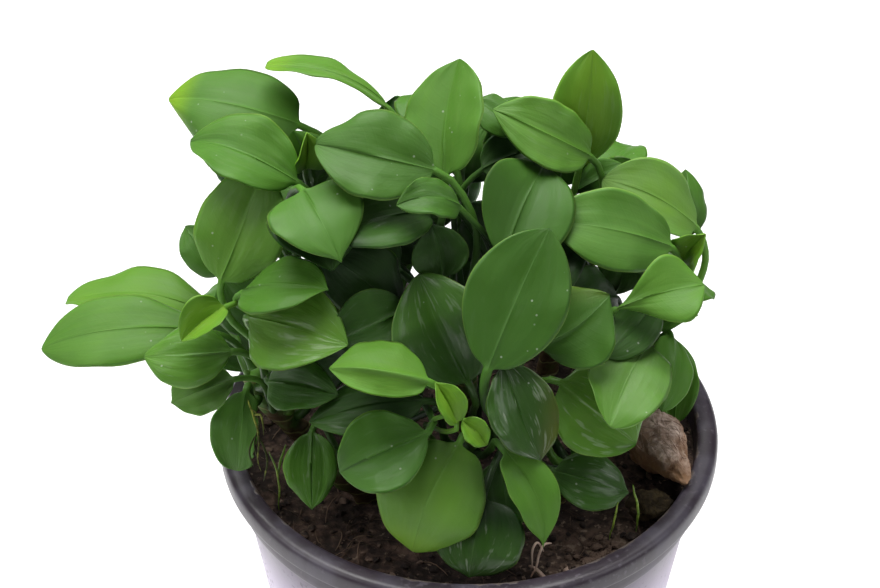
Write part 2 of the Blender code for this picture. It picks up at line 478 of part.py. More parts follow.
def leaf_bmesh(slot, bow, leaf, grow=0.0, sunk=0.0):
    """One leaf as one solid: a round petiole from a slot on its rhizome that turns into a thin blade.

    grow makes it thicker and wider all over, for testing what is near it. sunk lets the petiole
    start inside the rhizome that it is joined to.
    """
    root, outward, rise = slot
    base, chord, length, face = leaf["base"], leaf["along"], leaf["length"], leaf["face"]
    side = face.cross(chord)
    arch = leaf["arch"]
    start_along = (chord + face * (4 * arch / length)).normalized()
    reach = (base - root).length
    bm = bmesh.new()
    rings = []
    points = (root, root + rise * (reach * bow[0]), base - start_along * (reach * bow[1]), base)
    across = side
    for t in PETIOLE_STATIONS:
        point = (points[0] * (1 - t) ** 3 + points[1] * 3 * t * (1 - t) ** 2
                 + points[2] * 3 * t ** 2 * (1 - t) + points[3] * t ** 3)
        along = ((points[1] - points[0]) * (1 - t) ** 2 + (points[2] - points[1]) * 2 * t * (1 - t)
                 + (points[3] - points[2]) * t ** 2).normalized()
        if t == 0.0:
            along = outward
        across = (across - along * across.dot(along)).normalized()
        up = along.cross(across)
        radius = leaf["stalk"] * (1.0 - PETIOLE_TAPER * t) + grow
        turns = [math.pi - 2 * math.pi * step / SIDES for step in range(SIDES)]
        offsets = [(across * math.cos(turn) + up * math.sin(turn)) * radius for turn in turns]
        rings.append([bm.verts.new(point + offset) for offset in offsets])
        if t == 0.0 and sunk:
            rings.append([bm.verts.new(point - outward * sunk + offset * SUNK_TAPER) for offset in offsets])
    rings.reverse()
    for t in BLADE_STATIONS:
        lift = arch * 4 * t * (1 - t) - leaf["hook"] * (max(0.0, t - HOOK_START) / (1 - HOOK_START)) ** 2
        point = base + chord * (length * t) + face * lift + side * (leaf["sway"] * math.sin(math.pi * t))
        half = blade_half_width(t) * leaf["width"] + grow
        thick = (BLADE_THICKNESS / 2) * (1.25 - 0.6 * t) + grow
        twist = leaf["twist"] * (t - 0.3)
        across = side * math.cos(twist) + face * math.sin(twist)
        up = face * math.cos(twist) - side * math.sin(twist)
        over, under = [], []
        for u in ACROSS:
            wave = leaf["wave"] * MARGIN_WAVE * math.sin(5.0 * t + leaf["phase"] + (2.1 if u > 0 else 0.0))
            rise_here = half * (abs(u) * leaf["fold"] - u * u * leaf["camber"]) + wave * u * u
            middle = point + across * (half * u) + up * rise_here
            body = thick * math.sqrt(max(0.0, 1 - u * u))
            over.append(middle + up * body)
            under.append(middle - up * body)
        loop = over + under[-2:0:-1]
        rings.append([bm.verts.new(place) for place in loop])
    tip = base + chord * (length + grow) - face * leaf["hook"]
    skin(bm, rings, tip)
    return bm


def shaped(leaf, shift, pitch, roll, size):
    """The same leaf after it has given way to its neighbours."""
    other = dict(leaf)
    side = leaf["face"].cross(leaf["along"])
    turn = Matrix.Rotation(math.radians(pitch), 3, side)
    other["along"] = turn @ leaf["along"]
    face = turn @ leaf["face"]
    other["face"] = Matrix.Rotation(math.radians(roll), 3, other["along"]) @ face
    other["base"] = leaf["base"] + leaf["face"] * shift
    other["length"] = leaf["length"] * size
    other["width"] = leaf["width"] * size
    return other


def all_nudges():
    """Every way to give way, the least disturbing first."""
    every = itertools.product(SIZES, ROLLS, PITCHES, SHIFTS)
    ways = [(shift, pitch, roll, size) for size, roll, pitch, shift in every]
    return sorted(ways, key=lambda way: (abs(way[0]) + abs(way[1]) * PITCH_COST + abs(way[2]) * ROLL_COST
                                         + (1 - way[3]) * SIZE_COST))


NUDGES = all_nudges()


def crosses_itself(bm):
    """Whether two faces that don't meet at a corner pass through each other. The shape is used up."""
    bmesh.ops.triangulate(bm, faces=bm.faces)
    bm.faces.ensure_lookup_table()
    tree = BVHTree.FromBMesh(bm)
    crossed = any(not set(bm.faces[one].verts) & set(bm.faces[two].verts) for one, two in tree.overlap(tree))
    bm.free()
    return crossed


def is_clear(bm, trees):
    """Whether a shape touches nothing that is there. The shape is used up."""
    tree = BVHTree.FromBMesh(bm)
    bm.free()
    return not any(tree.overlap(other) for other in trees)


def awkwardness(slot, leaf):
    """How badly a petiole would run from a slot to the blade: long ways and sharp turns cost most."""
    root, _, rise = slot
    way = leaf["base"] - root
    return way.length * (STRAIGHT_COST - rise.dot(way.normalized()))


def place_leaf(leaf, slots, trees, sunk):
    """Find the first way for a leaf to lie clear of all that is there, and return its bmesh."""
    for nudge in NUDGES:
        trial = shaped(leaf, *nudge)
        stub = (trial["base"] - trial["along"] * STUB_LENGTH, trial["along"], trial["along"])
        if not is_clear(leaf_bmesh(stub, STUB_BOW, trial, grow=GAP), trees):
            continue
        for slot in sorted(slots, key=lambda place: awkwardness(place, trial))[:SLOT_TRIES]:
            for bow in PETIOLE_BOWS:
                if not is_clear(leaf_bmesh(slot, bow, trial, grow=PETIOLE_GAP), trees):
                    continue
                if crosses_itself(leaf_bmesh(slot, bow, trial, sunk=sunk)):
                    continue
                slots.remove(slot)
                return leaf_bmesh(slot, bow, trial, sunk=sunk)
    raise ValueError(f"no room for the leaf at {tuple(leaf['base'])}")


def leaf_settings(row):
    node, _, base, tip, width, faces, arch, tone = row
    rng = random.Random(f"{LEAF_SEED} {base}")
    base, tip = Vector(base), Vector(tip)
    along = (tip - base).normalized()
    _, face = frame_of(along, Vector(faces))
    leaf = {
        "base": base, "along": along, "face": face,
        "length": (tip - base).length, "width": width, "arch": arch,
        "stalk": PETIOLE_RADIUS * min(1.0, 0.35 + width / 16),
        "fold": rng.uniform(0.08, 0.36), "camber": rng.uniform(0.0, 0.30), "wave": rng.uniform(0.4, 1.7),
        "sway": rng.uniform(-0.08, 0.08) * width, "hook": rng.uniform(-0.4, 1.8) * width / 16,
        "twist": math.radians(rng.uniform(-14, 14)), "phase": rng.uniform(0, 2 * math.pi),
    }
    leaf.update(HABITS.get(node or tone, {}))
    return leaf


def settle(bm, trees):
    """Lower a loose piece until it rests just above what lies under it. Return the piece."""
    for _ in range(SETTLE_STEPS):
        lower = bm.copy()
        bmesh.ops.translate(lower, verts=lower.verts, vec=(0, 0, -GAP - SETTLE_STEP))
        if not is_clear(lower, trees):
            break
        bmesh.ops.translate(bm, verts=bm.verts, vec=(0, 0, -SETTLE_STEP))
    return bm


def foot_height(soil_tree, x, y):
    """Highest point of the soil under the foot of a rhizome."""
    heights = []
    for step in range(SIDES):
        turn = 2 * math.pi * step / SIDES
        above = Vector((x + RHIZOME_RADIUS * math.cos(turn), y + RHIZOME_RADIUS * math.sin(turn), 20))
        heights.append(soil_tree.ray_cast(above, Vector((0, 0, -1)))[0].z)
    return max(heights)


def root_bmesh(points):
    """A thin root along a few points, round in section."""
    bm = bmesh.new()
    points = [Vector(point) for point in points]
    rings = []
    for index, point in enumerate(points[:-1]):
        along = (points[index + 1] - point).normalized()
        side, face = frame_of(along, Vector((0, 0, 1)))
        turns = [2 * math.pi * step / SIDES for step in range(SIDES)]
        rings.append([bm.verts.new(point + (side * math.cos(turn) + face * math.sin(turn)) * ROOT_RADIUS)
                      for turn in turns])
    skin(bm, rings, points[-1])
    return bm


def grow_onto(stem, leaf):
    """Join a leaf to the rhizome that it grows on, as one solid."""
    join = stem.modifiers.new(leaf.name, "BOOLEAN")
    join.operation = "UNION"
    join.solver = "EXACT"
    join.object = leaf


def build():
    clear_scene()
    group = collection("potted_anubias")
    cutters = collection("cutters")
    trees = []

    def add(name, bm, colour, roughness, owner=group):
        trees.append(BVHTree.FromBMesh(bm))
        return add_object(name, bm, owner, colour, roughness, height=POT_HEIGHT)

    pot = turned("pot", pot_profile(), POT_SIDES, group, POT_COLOUR, 0.42)
    trees.append(BVHTree.FromBMesh(finished_bmesh(pot)))
    drill(pot, cutters)

    plug = turned("plug of peat", soil_profile(), SOIL_SIDES, group, SOIL_COLOUR, 0.95)
    soil = finished_bmesh(plug)
    bpy.data.objects.remove(plug, do_unlink=True)
    roughen_soil(soil)
    add("soil", soil, SOIL_COLOUR, 0.95)
    soil_tree = trees[-1]

    for node, centre, size, heading, point, colour in LUMPS:
        add(node, settle(lump_bmesh(centre, size, heading, point), trees), colour, 0.95)
    for node, points in ROOTS.items():
        add(node, settle(root_bmesh(points), trees), ROOT_COLOUR, 0.6)

    slots, stems = {}, {}
    for crown, (node, foot, middle, tip) in RHIZOMES.items():
        x, y, _ = foot
        path = (node, (x, y, foot_height(soil_tree, x, y) + GAP + SETTLE_STEP), middle, tip)
        slots[crown] = slots_of(path)
        stems[crown] = add(node, rhizome_bmesh(path), RHIZOME_COLOUR, 0.5)

    for row in LEAVES:
        node, crown, tone = row[0], row[1], row[-1]
        joined = not node
        bm = place_leaf(leaf_settings(row), slots[crown], trees, SUNK if joined else 0.0)
        if joined:
            leaf = add(f"{crown}_leaf", bm, TONES[tone], LEAF_GLOSS, owner=cutters)
            leaf.hide_render = True
            leaf.display_type = "WIRE"
            grow_onto(stems[crown], leaf)
        else:
            add(node, bm, TONES[tone], LEAF_GLOSS)


build()
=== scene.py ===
import json
import math
import random

import bmesh
import bpy
import numpy as np
from mathutils import Matrix, Vector, noise
from mathutils.bvhtree import BVHTree


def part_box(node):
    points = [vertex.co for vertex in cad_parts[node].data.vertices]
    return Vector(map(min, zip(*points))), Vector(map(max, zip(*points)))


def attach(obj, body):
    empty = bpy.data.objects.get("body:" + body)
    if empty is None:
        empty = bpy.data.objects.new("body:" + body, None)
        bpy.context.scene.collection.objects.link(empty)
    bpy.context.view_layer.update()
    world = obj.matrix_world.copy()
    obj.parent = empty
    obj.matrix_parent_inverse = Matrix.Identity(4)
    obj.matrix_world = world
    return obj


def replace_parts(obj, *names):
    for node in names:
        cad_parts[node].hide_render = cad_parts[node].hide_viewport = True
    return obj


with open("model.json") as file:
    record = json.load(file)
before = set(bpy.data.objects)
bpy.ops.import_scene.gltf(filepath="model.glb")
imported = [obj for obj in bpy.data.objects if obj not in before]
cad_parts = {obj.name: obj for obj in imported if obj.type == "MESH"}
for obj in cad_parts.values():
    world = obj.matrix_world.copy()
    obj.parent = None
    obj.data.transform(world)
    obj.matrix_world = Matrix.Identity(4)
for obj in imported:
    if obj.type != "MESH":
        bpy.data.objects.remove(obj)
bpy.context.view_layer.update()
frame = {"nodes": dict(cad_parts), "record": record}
nodes = frame["nodes"]
slotOf = {row["node"]: row["material_slot"] for row in frame["record"]["subparts"]}
mm = 0.001
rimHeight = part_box("pot")[1].z
print("frame loaded:", len(nodes), "nodes")


# A socket in a finish, so that shader maths reads as plain sums.
class Wire:
    def __init__(self, finish, socket):
        self.finish = finish
        self.socket = socket

    def math(self, kind, first, second=0.0):
        return self.finish.add("ShaderNodeMath", {"operation": kind}, {0: first, 1: second})

    def __add__(self, other):
        return self.math("ADD", self, other)

    def __sub__(self, other):
        return self.math("SUBTRACT", self, other)

    def __rsub__(self, other):
        return self.math("SUBTRACT", other, self)

    def __mul__(self, other):
        return self.math("MULTIPLY", self, other)

    def __abs__(self):
        return self.math("ABSOLUTE", self)

    def sine(self):
        return self.math("SINE", self)

    __radd__, __rmul__ = __add__, __mul__


# A material under construction. Values that are the same all over go straight onto the shader.
class Finish:
    def __init__(self, name, fixed):
        self.material = bpy.data.materials.new(name)
        self.material.use_nodes = True
        self.tree = self.material.node_tree
        self.shader = self.tree.nodes["Principled BSDF"]
        for socket, value in fixed.items():
            self.shader.inputs[socket].default_value = value

    def plug(self, socket, value):
        if isinstance(value, Wire):
            self.tree.links.new(value.socket, socket)
        else:
            socket.default_value = value

    def add(self, kind, settings, inputs, output=0):
        node = self.tree.nodes.new(kind)
        for name, value in settings.items():
            if name == "stops":
                while len(node.color_ramp.elements) < len(value):
                    node.color_ramp.elements.new(1.0)
                for element, (place, colour) in zip(node.color_ramp.elements, value):
                    element.position = place
                    element.color = colour
            else:
                setattr(node, name, value)
        for key, value in inputs.items():
            self.plug(node.inputs[key], value)
        return Wire(self, node.outputs[output])

    def place(self):
        return self.add("ShaderNodeTexCoord", {}, {}, "Object")

    def mark(self, name):
        return self.add("ShaderNodeAttribute", {"attribute_name": name}, {}, "Fac")

    def coordinate(self, axis):
        return self.add("ShaderNodeSeparateXYZ", {}, {0: self.place()}, axis)

    def stretched(self, scale):
        return self.add("ShaderNodeVectorMath", {"operation": "MULTIPLY"}, {0: self.place(), 1: scale})

    # How far from a spot, seen from above.
    def awayFrom(self, spot):
        inputs = {0: self.stretched((1, 1, 0)), 1: spot}
        return self.add("ShaderNodeVectorMath", {"operation": "DISTANCE"}, inputs, "Value")

    def cloud(self, scale, detail=3.0, at=None):
        inputs = {"Vector": at or self.place(), "Scale": scale, "Detail": detail}
        return self.add("ShaderNodeTexNoise", {}, inputs)

    def cells(self, scale):
        return self.add("ShaderNodeTexVoronoi", {}, {"Vector": self.place(), "Scale": scale}, "Distance")

    def ease(self, value, low, high):
        inputs = {0: value, 1: low, 2: high, 3: 0.0, 4: 1.0}
        return self.add("ShaderNodeMapRange", {"interpolation_type": "SMOOTHSTEP"}, inputs)

    def ramp(self, value, stops):
        return self.add("ShaderNodeValToRGB", {"stops": stops}, {0: value})

    def mix(self, first, second, share):
        return self.add("ShaderNodeMix", {"data_type": "RGBA"}, {0: share, 6: first, 7: second}, 2)

    # Layers of colour, one over the other, each with its share.
    def cover(self, shade, look, **shares):
        for name, share in shares.items():
            shade = self.mix(shade, look[name], share)
        return shade

    def bump(self, height, depth, strength):
        return self.add("ShaderNodeBump", {}, {"Strength": strength, "Distance": depth, "Height": height})

    def wear(self, **sockets):
        for name, value in sockets.items():
            self.plug(self.shader.inputs[name.replace("_", " ")], value)
        return self.material


def colour(red, green, blue):
    return (red, green, blue, 1.0)


# ---- pieces

def addObject(name, data):
    thing = bpy.data.objects.new(name, data)
    bpy.context.scene.collection.objects.link(thing)
    return thing


def addPiece(name, points, faces, finish, marks=None, smooth=True):
    mesh = bpy.data.meshes.new(name)
    mesh.from_pydata(np.asarray(points).tolist(), [], faces)
    mesh.materials.append(finish)
    mesh.polygons.foreach_set("use_smooth", [smooth] * len(mesh.polygons))
    for mark, values in (marks or {}).items():
        layer = mesh.attributes.new(mark, "FLOAT", "POINT")
        layer.data.foreach_set("value", np.asarray(values, np.float32))
    mesh.validate()
    mesh.update()
    piece = addObject(name, mesh)
    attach(piece, "root")
    return piece


# A passing object for a modifier to work on, or with.
def addHolder(name, bm):
    mesh = bpy.data.meshes.new(name)
    bm.to_mesh(mesh)
    bm.free()
    return addObject(name, mesh)


def takeMesh(bm):
    points = np.array([vert.co for vert in bm.verts])
    faces = [tuple(vert.index for vert in face.verts) for face in bm.faces]
    bm.free()
    return points, faces


def evenOut(bm):
    bmesh.ops.smooth_vert(bm, verts=bm.verts, factor=0.5, use_axis_x=True, use_axis_y=True, use_axis_z=True)


# The faces, turned round together if their volume comes out negative.
def outward(points, faces):
    corners = np.asarray(points)
    volume = 0.0
    for face in faces:
        for second, third in zip(face[1:], face[2:]):
            volume += corners[face[0]] @ np.cross(corners[second], corners[third])
    return [face[::-1] for face in faces] if volume < 0 else faces


# The skin of a closed body: rings of points one after another, then a point for each end.
def skinFaces(points, sides):
    first, last = len(points) - 2, len(points) - 1
    faces = []
    for low in range(0, first - sides, sides):
        for side in range(sides):
            after = (side + 1) % sides
            faces.append((low + side, low + after, low + sides + after, low + sides + side))
    for side in range(sides):
        after = (side + 1) % sides
        faces += [(first, after, side), (first - sides + side, first - sides + after, last)]
    return outward(points, faces)


# Circles round points of a line, each in the plane of its two directions.
def circles(middles, sideways, up, radii, turns):
    radii = radii[:, None, None]
    return (middles[:, None] + sideways[:, None] * (np.cos(turns)[None, :, None] * radii)
            + up[:, None] * (np.sin(turns)[None, :, None] * radii))


def around(radius, turn):
    return radius * math.cos(turn), radius * math.sin(turn)


def gather(parts):
    points, faces, marks, start = [], [], {}, 0
    for part, own, values in parts:
        points.append(part)
        faces += [tuple(corner + start for corner in face) for face in own]
        for name, numbers in values.items():
            marks.setdefault(name, []).append(numbers)
        start += len(part)
    return np.vstack(points), faces, {name: np.concatenate(numbers) for name, numbers in marks.items()}


def addParts(name, parts, finish, smooth=True):
    points, faces, marks = gather(parts)
    addPiece(name, points, faces, finish, marks, smooth)


# A smooth run through values at knots, read at other places.
def smoothThrough(knots, values, at):
    knots = np.asarray(knots, float)
    values = np.asarray(values, float)
    slopes = np.gradient(values, knots, axis=0)
    index = np.clip(np.searchsorted(knots, at, side="right") - 1, 0, len(knots) - 2)
    gap = (knots[index + 1] - knots[index])[:, None]
    s = (np.asarray(at) - knots[index])[:, None] / gap
    return ((2 * s ** 3 - 3 * s ** 2 + 1) * values[index] + (s ** 3 - 2 * s ** 2 + s) * gap * slopes[index]
            + (3 * s ** 2 - 2 * s ** 3) * values[index + 1] + (s ** 3 - s ** 2) * gap * slopes[index + 1])


def unit(vectors):
    return vectors / np.maximum(np.linalg.norm(vectors, axis=-1, keepdims=True), 1e-12)


def easeIn(value):
    value = np.clip(value, 0, 1)
    return value * value * (3 - 2 * value)


# ---- camera, floor and light

view = {
    "side": -5.2 * mm, "back": -301.8 * mm, "above": 260.4 * mm,
    "down": 37.52, "lens": 90, "sensor": 36,
    "floor": 3.0, "floorColour": colour(0.86, 0.86, 0.875), "floorPale": colour(0.88, 0.88, 0.89),
    "floorGlow": 0.24,
    "sky": colour(1.0, 1.0, 1.0), "skyPower": 0.07,
}
lamps = {
    "top": {"at": (-0.10, 0.20, 0.72), "size": 0.8, "power": 10.0, "tint": (1.0, 0.995, 0.98)},
    "left": {"at": (-0.62, -0.20, 0.46), "size": 0.5, "power": 1.8, "tint": (1.0, 1.0, 1.0)},
    "right": {"at": (0.60, -0.16, 0.50), "size": 0.5, "power": 1.2, "tint": (0.98, 0.99, 1.0)},
}


def setStage():
    scene = bpy.context.scene
    scene.view_settings.view_transform = "Standard"
    lens = bpy.data.cameras.new("camera")
    lens.lens = view["lens"]
    lens.sensor_width = view["sensor"]
    lens.clip_start = 0.01
    camera = addObject("camera", lens)
    camera.location = (view["side"], view["back"], rimHeight + view["above"])
    camera.rotation_euler = (math.radians(90 - view["down"]), 0, 0)
    scene.camera = camera

    world = bpy.data.worlds.new("studio")
    world.use_nodes = True
    sky = world.node_tree.nodes["Background"]
    sky.inputs["Color"].default_value = view["sky"]
    sky.inputs["Strength"].default_value = view["skyPower"]
    scene.world = world

    half = view["floor"] / 2
    mesh = bpy.data.meshes.new("floor")
    corners = [(-half, -half, 0), (half, -half, 0), (half, half, 0), (-half, half, 0)]
    mesh.from_pydata(corners, [], [(0, 1, 2, 3)])
    paper = Finish("paleFloor", {"Roughness": 0.8, "Emission Strength": view["floorGlow"]})
    paper.shader.inputs["Emission Color"].default_value = view["sky"]
    mottled = paper.mix(view["floorColour"], view["floorPale"], paper.cloud(3.0))
    mesh.materials.append(paper.wear(Base_Color=mottled))
    addObject("floor", mesh)

    aim = Vector((0, 0, rimHeight))
    for name, lamp in lamps.items():
        light = bpy.data.lights.new(name, "AREA")
        light.shape = "DISK"
        light.size = lamp["size"]
        light.energy = lamp["power"]
        light.color = lamp["tint"]
        holder = addObject(name, light)
        holder.location = Vector(lamp["at"]) + aim
        holder.rotation_euler = (aim - holder.location).to_track_quat("-Z", "Y").to_euler()
    print("stage set")


# ---- leaf finish

leafLook = {
    "darkTone": colour(0.004, 0.024, 0.003), "plainTone": colour(0.018, 0.092, 0.008),
    "lightTone": colour(0.13, 0.29, 0.034), "youngTone": colour(0.28, 0.50, 0.012),
    "under": colour(0.08, 0.21, 0.018), "rib": colour(0.14, 0.31, 0.06), "edge": colour(0.22, 0.38, 0.06),
    "stalk": colour(0.10, 0.27, 0.026), "glow": colour(0.10, 0.30, 0.014), "bloom": colour(0.25, 0.36, 0.19),
    # inner is the colour of painted shade, laid over a leaf where other leaves crowd round it
    "rust": colour(0.115, 0.095, 0.014), "inner": colour(0.002, 0.014, 0.002),
    # film is the colour of a painted highlight: pale streaks on wet leaves
    "speck": colour(0.55, 0.62, 0.50), "film": colour(0.55, 0.62, 0.50),
    "gloss": 0.44, "veins": 11.0, "grain": 900.0,
}


def leafSkin():
    look = leafLook
    skin = Finish("leafSkin", {
        "Subsurface Weight": 0.08, "Subsurface Radius": (0.25, 1.0, 0.08), "Subsurface Scale": 0.0006,
        "Specular IOR Level": 0.27, "Coat Roughness": 0.14})
    tone, chance, wet = skin.mark("tone"), skin.mark("chance"), skin.mark("wet")
    along, across, under = skin.mark("along"), skin.mark("across"), skin.mark("underside")
    out = abs(across)
    blotch = skin.cloud(150.0, 3.0)
    fine = skin.cloud(look["grain"], 2.0)
    lengthwise = {0: across * 3.6 + chance * 7.0, 1: along * 1.5, 2: tone}
    lengthwise = skin.add("ShaderNodeCombineXYZ", {}, lengthwise)
    streak = skin.cloud(1.5, 3.0, lengthwise)
    lively = skin.ease(tone, 0.0, 0.5)
    stray = (blotch - 0.5) * 0.30 + (streak - 0.5) * 0.15 + (chance - 0.5) * 0.08
    tones = [look[name] for name in ("darkTone", "plainTone", "lightTone", "youngTone")]
    base = skin.ramp(tone * 0.5 + stray * (0.25 + lively * 0.75), list(zip((0.0, 0.25, 0.5, 1.0), tones)))
    slant = along - out * out * 0.16 - out * 0.10
    veins = 1 - skin.ease(abs((slant * (look["veins"] * math.pi)).sine()), 0.0, 0.45)
    onBlade = skin.ease(along, 0.0, 0.05)
    rib = (1 - skin.ease(out * (0.5 + along), 0.008, 0.07)) * onBlade
    margin = skin.ease(out, 0.955, 1.0) * onBlade
    dots = (1 - skin.ease(skin.cells(420.0), 0.05, 0.10)) * skin.ease(skin.cloud(60.0), 0.53, 0.60)
    # painted highlight: pale streaks along wet leaves stand in for narrow reflections
    sheen = skin.ease(skin.cloud(2.6, 3.0, lengthwise) + (blotch - 0.5) * 0.3, 0.58, 0.70) * wet
    shade = skin.cover(
        base, look,
        # painted light: the margins lighter, as where light shines through the blade
        glow=skin.ease(out, 0.35, 1.0) * (0.02 + tone * 0.30) * onBlade,
        # painted sheen: a grey cast that stands in for a broad reflection on the leaf
        bloom=skin.mark("bloom") * (0.35 + skin.ease(blotch, 0.35, 0.65) * 0.65),
        under=under * (0.25 + lively * 0.45),
        rib=rib * (0.12 + lively * 0.24) * (1 - along * 0.75),
        edge=margin * (0.24 + 0.34 * lively),
        stalk=(1 - onBlade) * (0.15 + 0.55 * lively),
        youngTone=skin.mark("tint") * skin.ease(along, 0.74, 0.95),
        rust=skin.mark("rust") * skin.ease(across * 0.55 + along * 0.6, 0.50, 1.0),
        speck=dots * onBlade * 0.45,
        film=sheen * onBlade * (1 - rib) * 0.24,
        # painted shade: the colour darkens toward inner where the point is shut in by other leaves
        inner=skin.ease(skin.mark("deep"), 0.22, 0.95) * 0.88)
    rough = look["gloss"] + under * 0.12 + (blotch - 0.5) * 0.30 + (streak - 0.5) * 0.35 - wet * 0.10
    height = (rib * (under * 2.0 - 1.0) * 0.25 + veins * onBlade * 0.05 + blotch * 1.6 + fine * 0.14
              + streak * (0.9 + wet * 2.4))
    return skin.wear(Base_Color=shade, Roughness=rough, Coat_Weight=wet * skin.ease(streak, 0.42, 0.62) * 0.7,
                     Normal=skin.bump(height, 0.0002, 0.6))


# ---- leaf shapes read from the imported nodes

ringSize = 8
atLeft, onTop, atRight, below = range(0, ringSize, ringSize // 4)  # the corners of a blade's ring
bladePlaces = (0.07, 0.25, 0.5, 0.72, 0.9)  # shares of the blade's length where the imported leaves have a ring
midBlade = len(bladePlaces) // 2
petiolePlaces = 4


def cadMesh(node):
    bm = bmesh.new()
    bm.from_mesh(nodes[node].data)
    bmesh.ops.remove_doubles(bm, verts=bm.verts, dist=1e-6)
    return bm


# The rings of eight corners from a leaf's tip down to the foot of its petiole.
def ringsFrom(tip):
    seen, rings, last = {tip}, [], [tip]
    while len(rings) < len(bladePlaces) + petiolePlaces:
        after = []
        for vert in last:
            for edge in vert.link_edges:
                other = edge.other_vert(vert)
                if other not in seen:
                    seen.add(other)
                    after.append(other)
        if len(after) != ringSize:
            return None
        rings.append(after)
        last = after
    return rings


# A ring's corners along its edges, which also works where it is folded.
def walkRing(ring):
    order, left = [ring[0]], set(ring[1:])
    while left:
        near = [edge.other_vert(order[-1]) for edge in order[-1].link_edges]
        step = [vert for vert in near if vert in left]
        if not step:
            return None
        order.append(step[0])
        left.remove(step[0])
    return np.array([vert.co for vert in order])


# A ring's corners by their angle, for a round one whose edges also cross it.
def roundOrder(ring):
    points = np.array([vert.co for vert in ring])
    centred = points - points.mean(0)
    axes = np.linalg.svd(centred)[2]
    turns = np.arctan2(centred @ axes[1], centred @ axes[0])
    return points[np.argsort(turns)]


def turned(ring, start, way=1):
    return ring[(start + way * np.arange(ringSize)) % ringSize]


# The ring turned so that it comes closest to another.
def matched(ring, guide):
    wanted = unit(guide - guide.mean(0))
    choices = [turned(ring, start, way) for way in (1, -1) for start in range(ringSize)]
    return min(choices, key=lambda choice: ((unit(choice - choice.mean(0)) - wanted) ** 2).sum())


# One leaf as rings in the order left margin, upper side, right margin, underside.
def readLeaf(tip):
    rings = ringsFrom(tip)
    if rings is None:
        return None
    blade = [walkRing(ring) for ring in rings[:len(bladePlaces)]][::-1]
    if any(ring is None for ring in blade):
        return None
    petiole = [roundOrder(ring) for ring in rings[len(bladePlaces):]]
    point = np.array(tip.co)
    base = petiole[0].mean(0)
    heading = unit(point - base)
    bow = blade[midBlade].mean(0) - (point + base) / 2
    rises = [bow] * len(blade)
    for index in sorted(range(len(blade)), key=lambda place: abs(place - midBlade)):
        ring = blade[index]
        spans = [np.linalg.norm(ring[corner] - ring[corner + atRight]) for corner in range(atRight)]
        ring = turned(ring, int(np.argmax(spans)))  # the widest span is the one between the margins
        rise = ring[onTop] - ring[below]
        guide = rises[index + (index < midBlade) - (index > midBlade)]
        way = -1 if rise @ guide < 0 else 1
        rises[index] = rise * way
        if (ring[atLeft] - ring.mean(0)) @ np.cross(rises[index], heading) > 0:
            blade[index] = turned(ring, atRight, -way)
        else:
            blade[index] = turned(ring, atLeft, way)
    guide = blade[0]
    for index, ring in enumerate(petiole):
        petiole[index] = matched(ring, guide)
        guide = petiole[index]
    return {"tip": point, "blade": np.array(blade), "petiole": np.array(petiole[::-1]), "rings": rings}


def leavesIn(bm):
    found = [readLeaf(vert) for vert in bm.verts if len(vert.link_edges) == ringSize]
    return [leaf for leaf in found if leaf]


def widthOf(leaf):
    ring = leaf["blade"][midBlade]
    return np.linalg.norm(ring[atRight] - ring[atLeft])


# ---- leaf building

leafShape = {
    "stations": 34, "petioleStations": 14,
    "across": (0.0, 0.05, 0.14, 0.28, 0.45, 0.62, 0.79, 0.92, 1.0),
    "thickness": 0.18 * mm, "thinning": 0.07 * mm,
    "groove": 0.07 * mm, "grooveWidth": 0.50 * mm, "ridge": 0.45 * mm, "ridgeWidth": 0.50 * mm,
    "ruffle": 0.30 * mm, "crease": 0.45 * mm, "join": 0.06, "sunk": 1.5 * mm, "sheath": 0.35, "flare": 0.10,
    "fullWidth": 14 * mm, "flat": 0.72, "softFold": 0.012,
    "openRays": 14, "openReach": 30 * mm, "clear": 1.3 * mm,
}
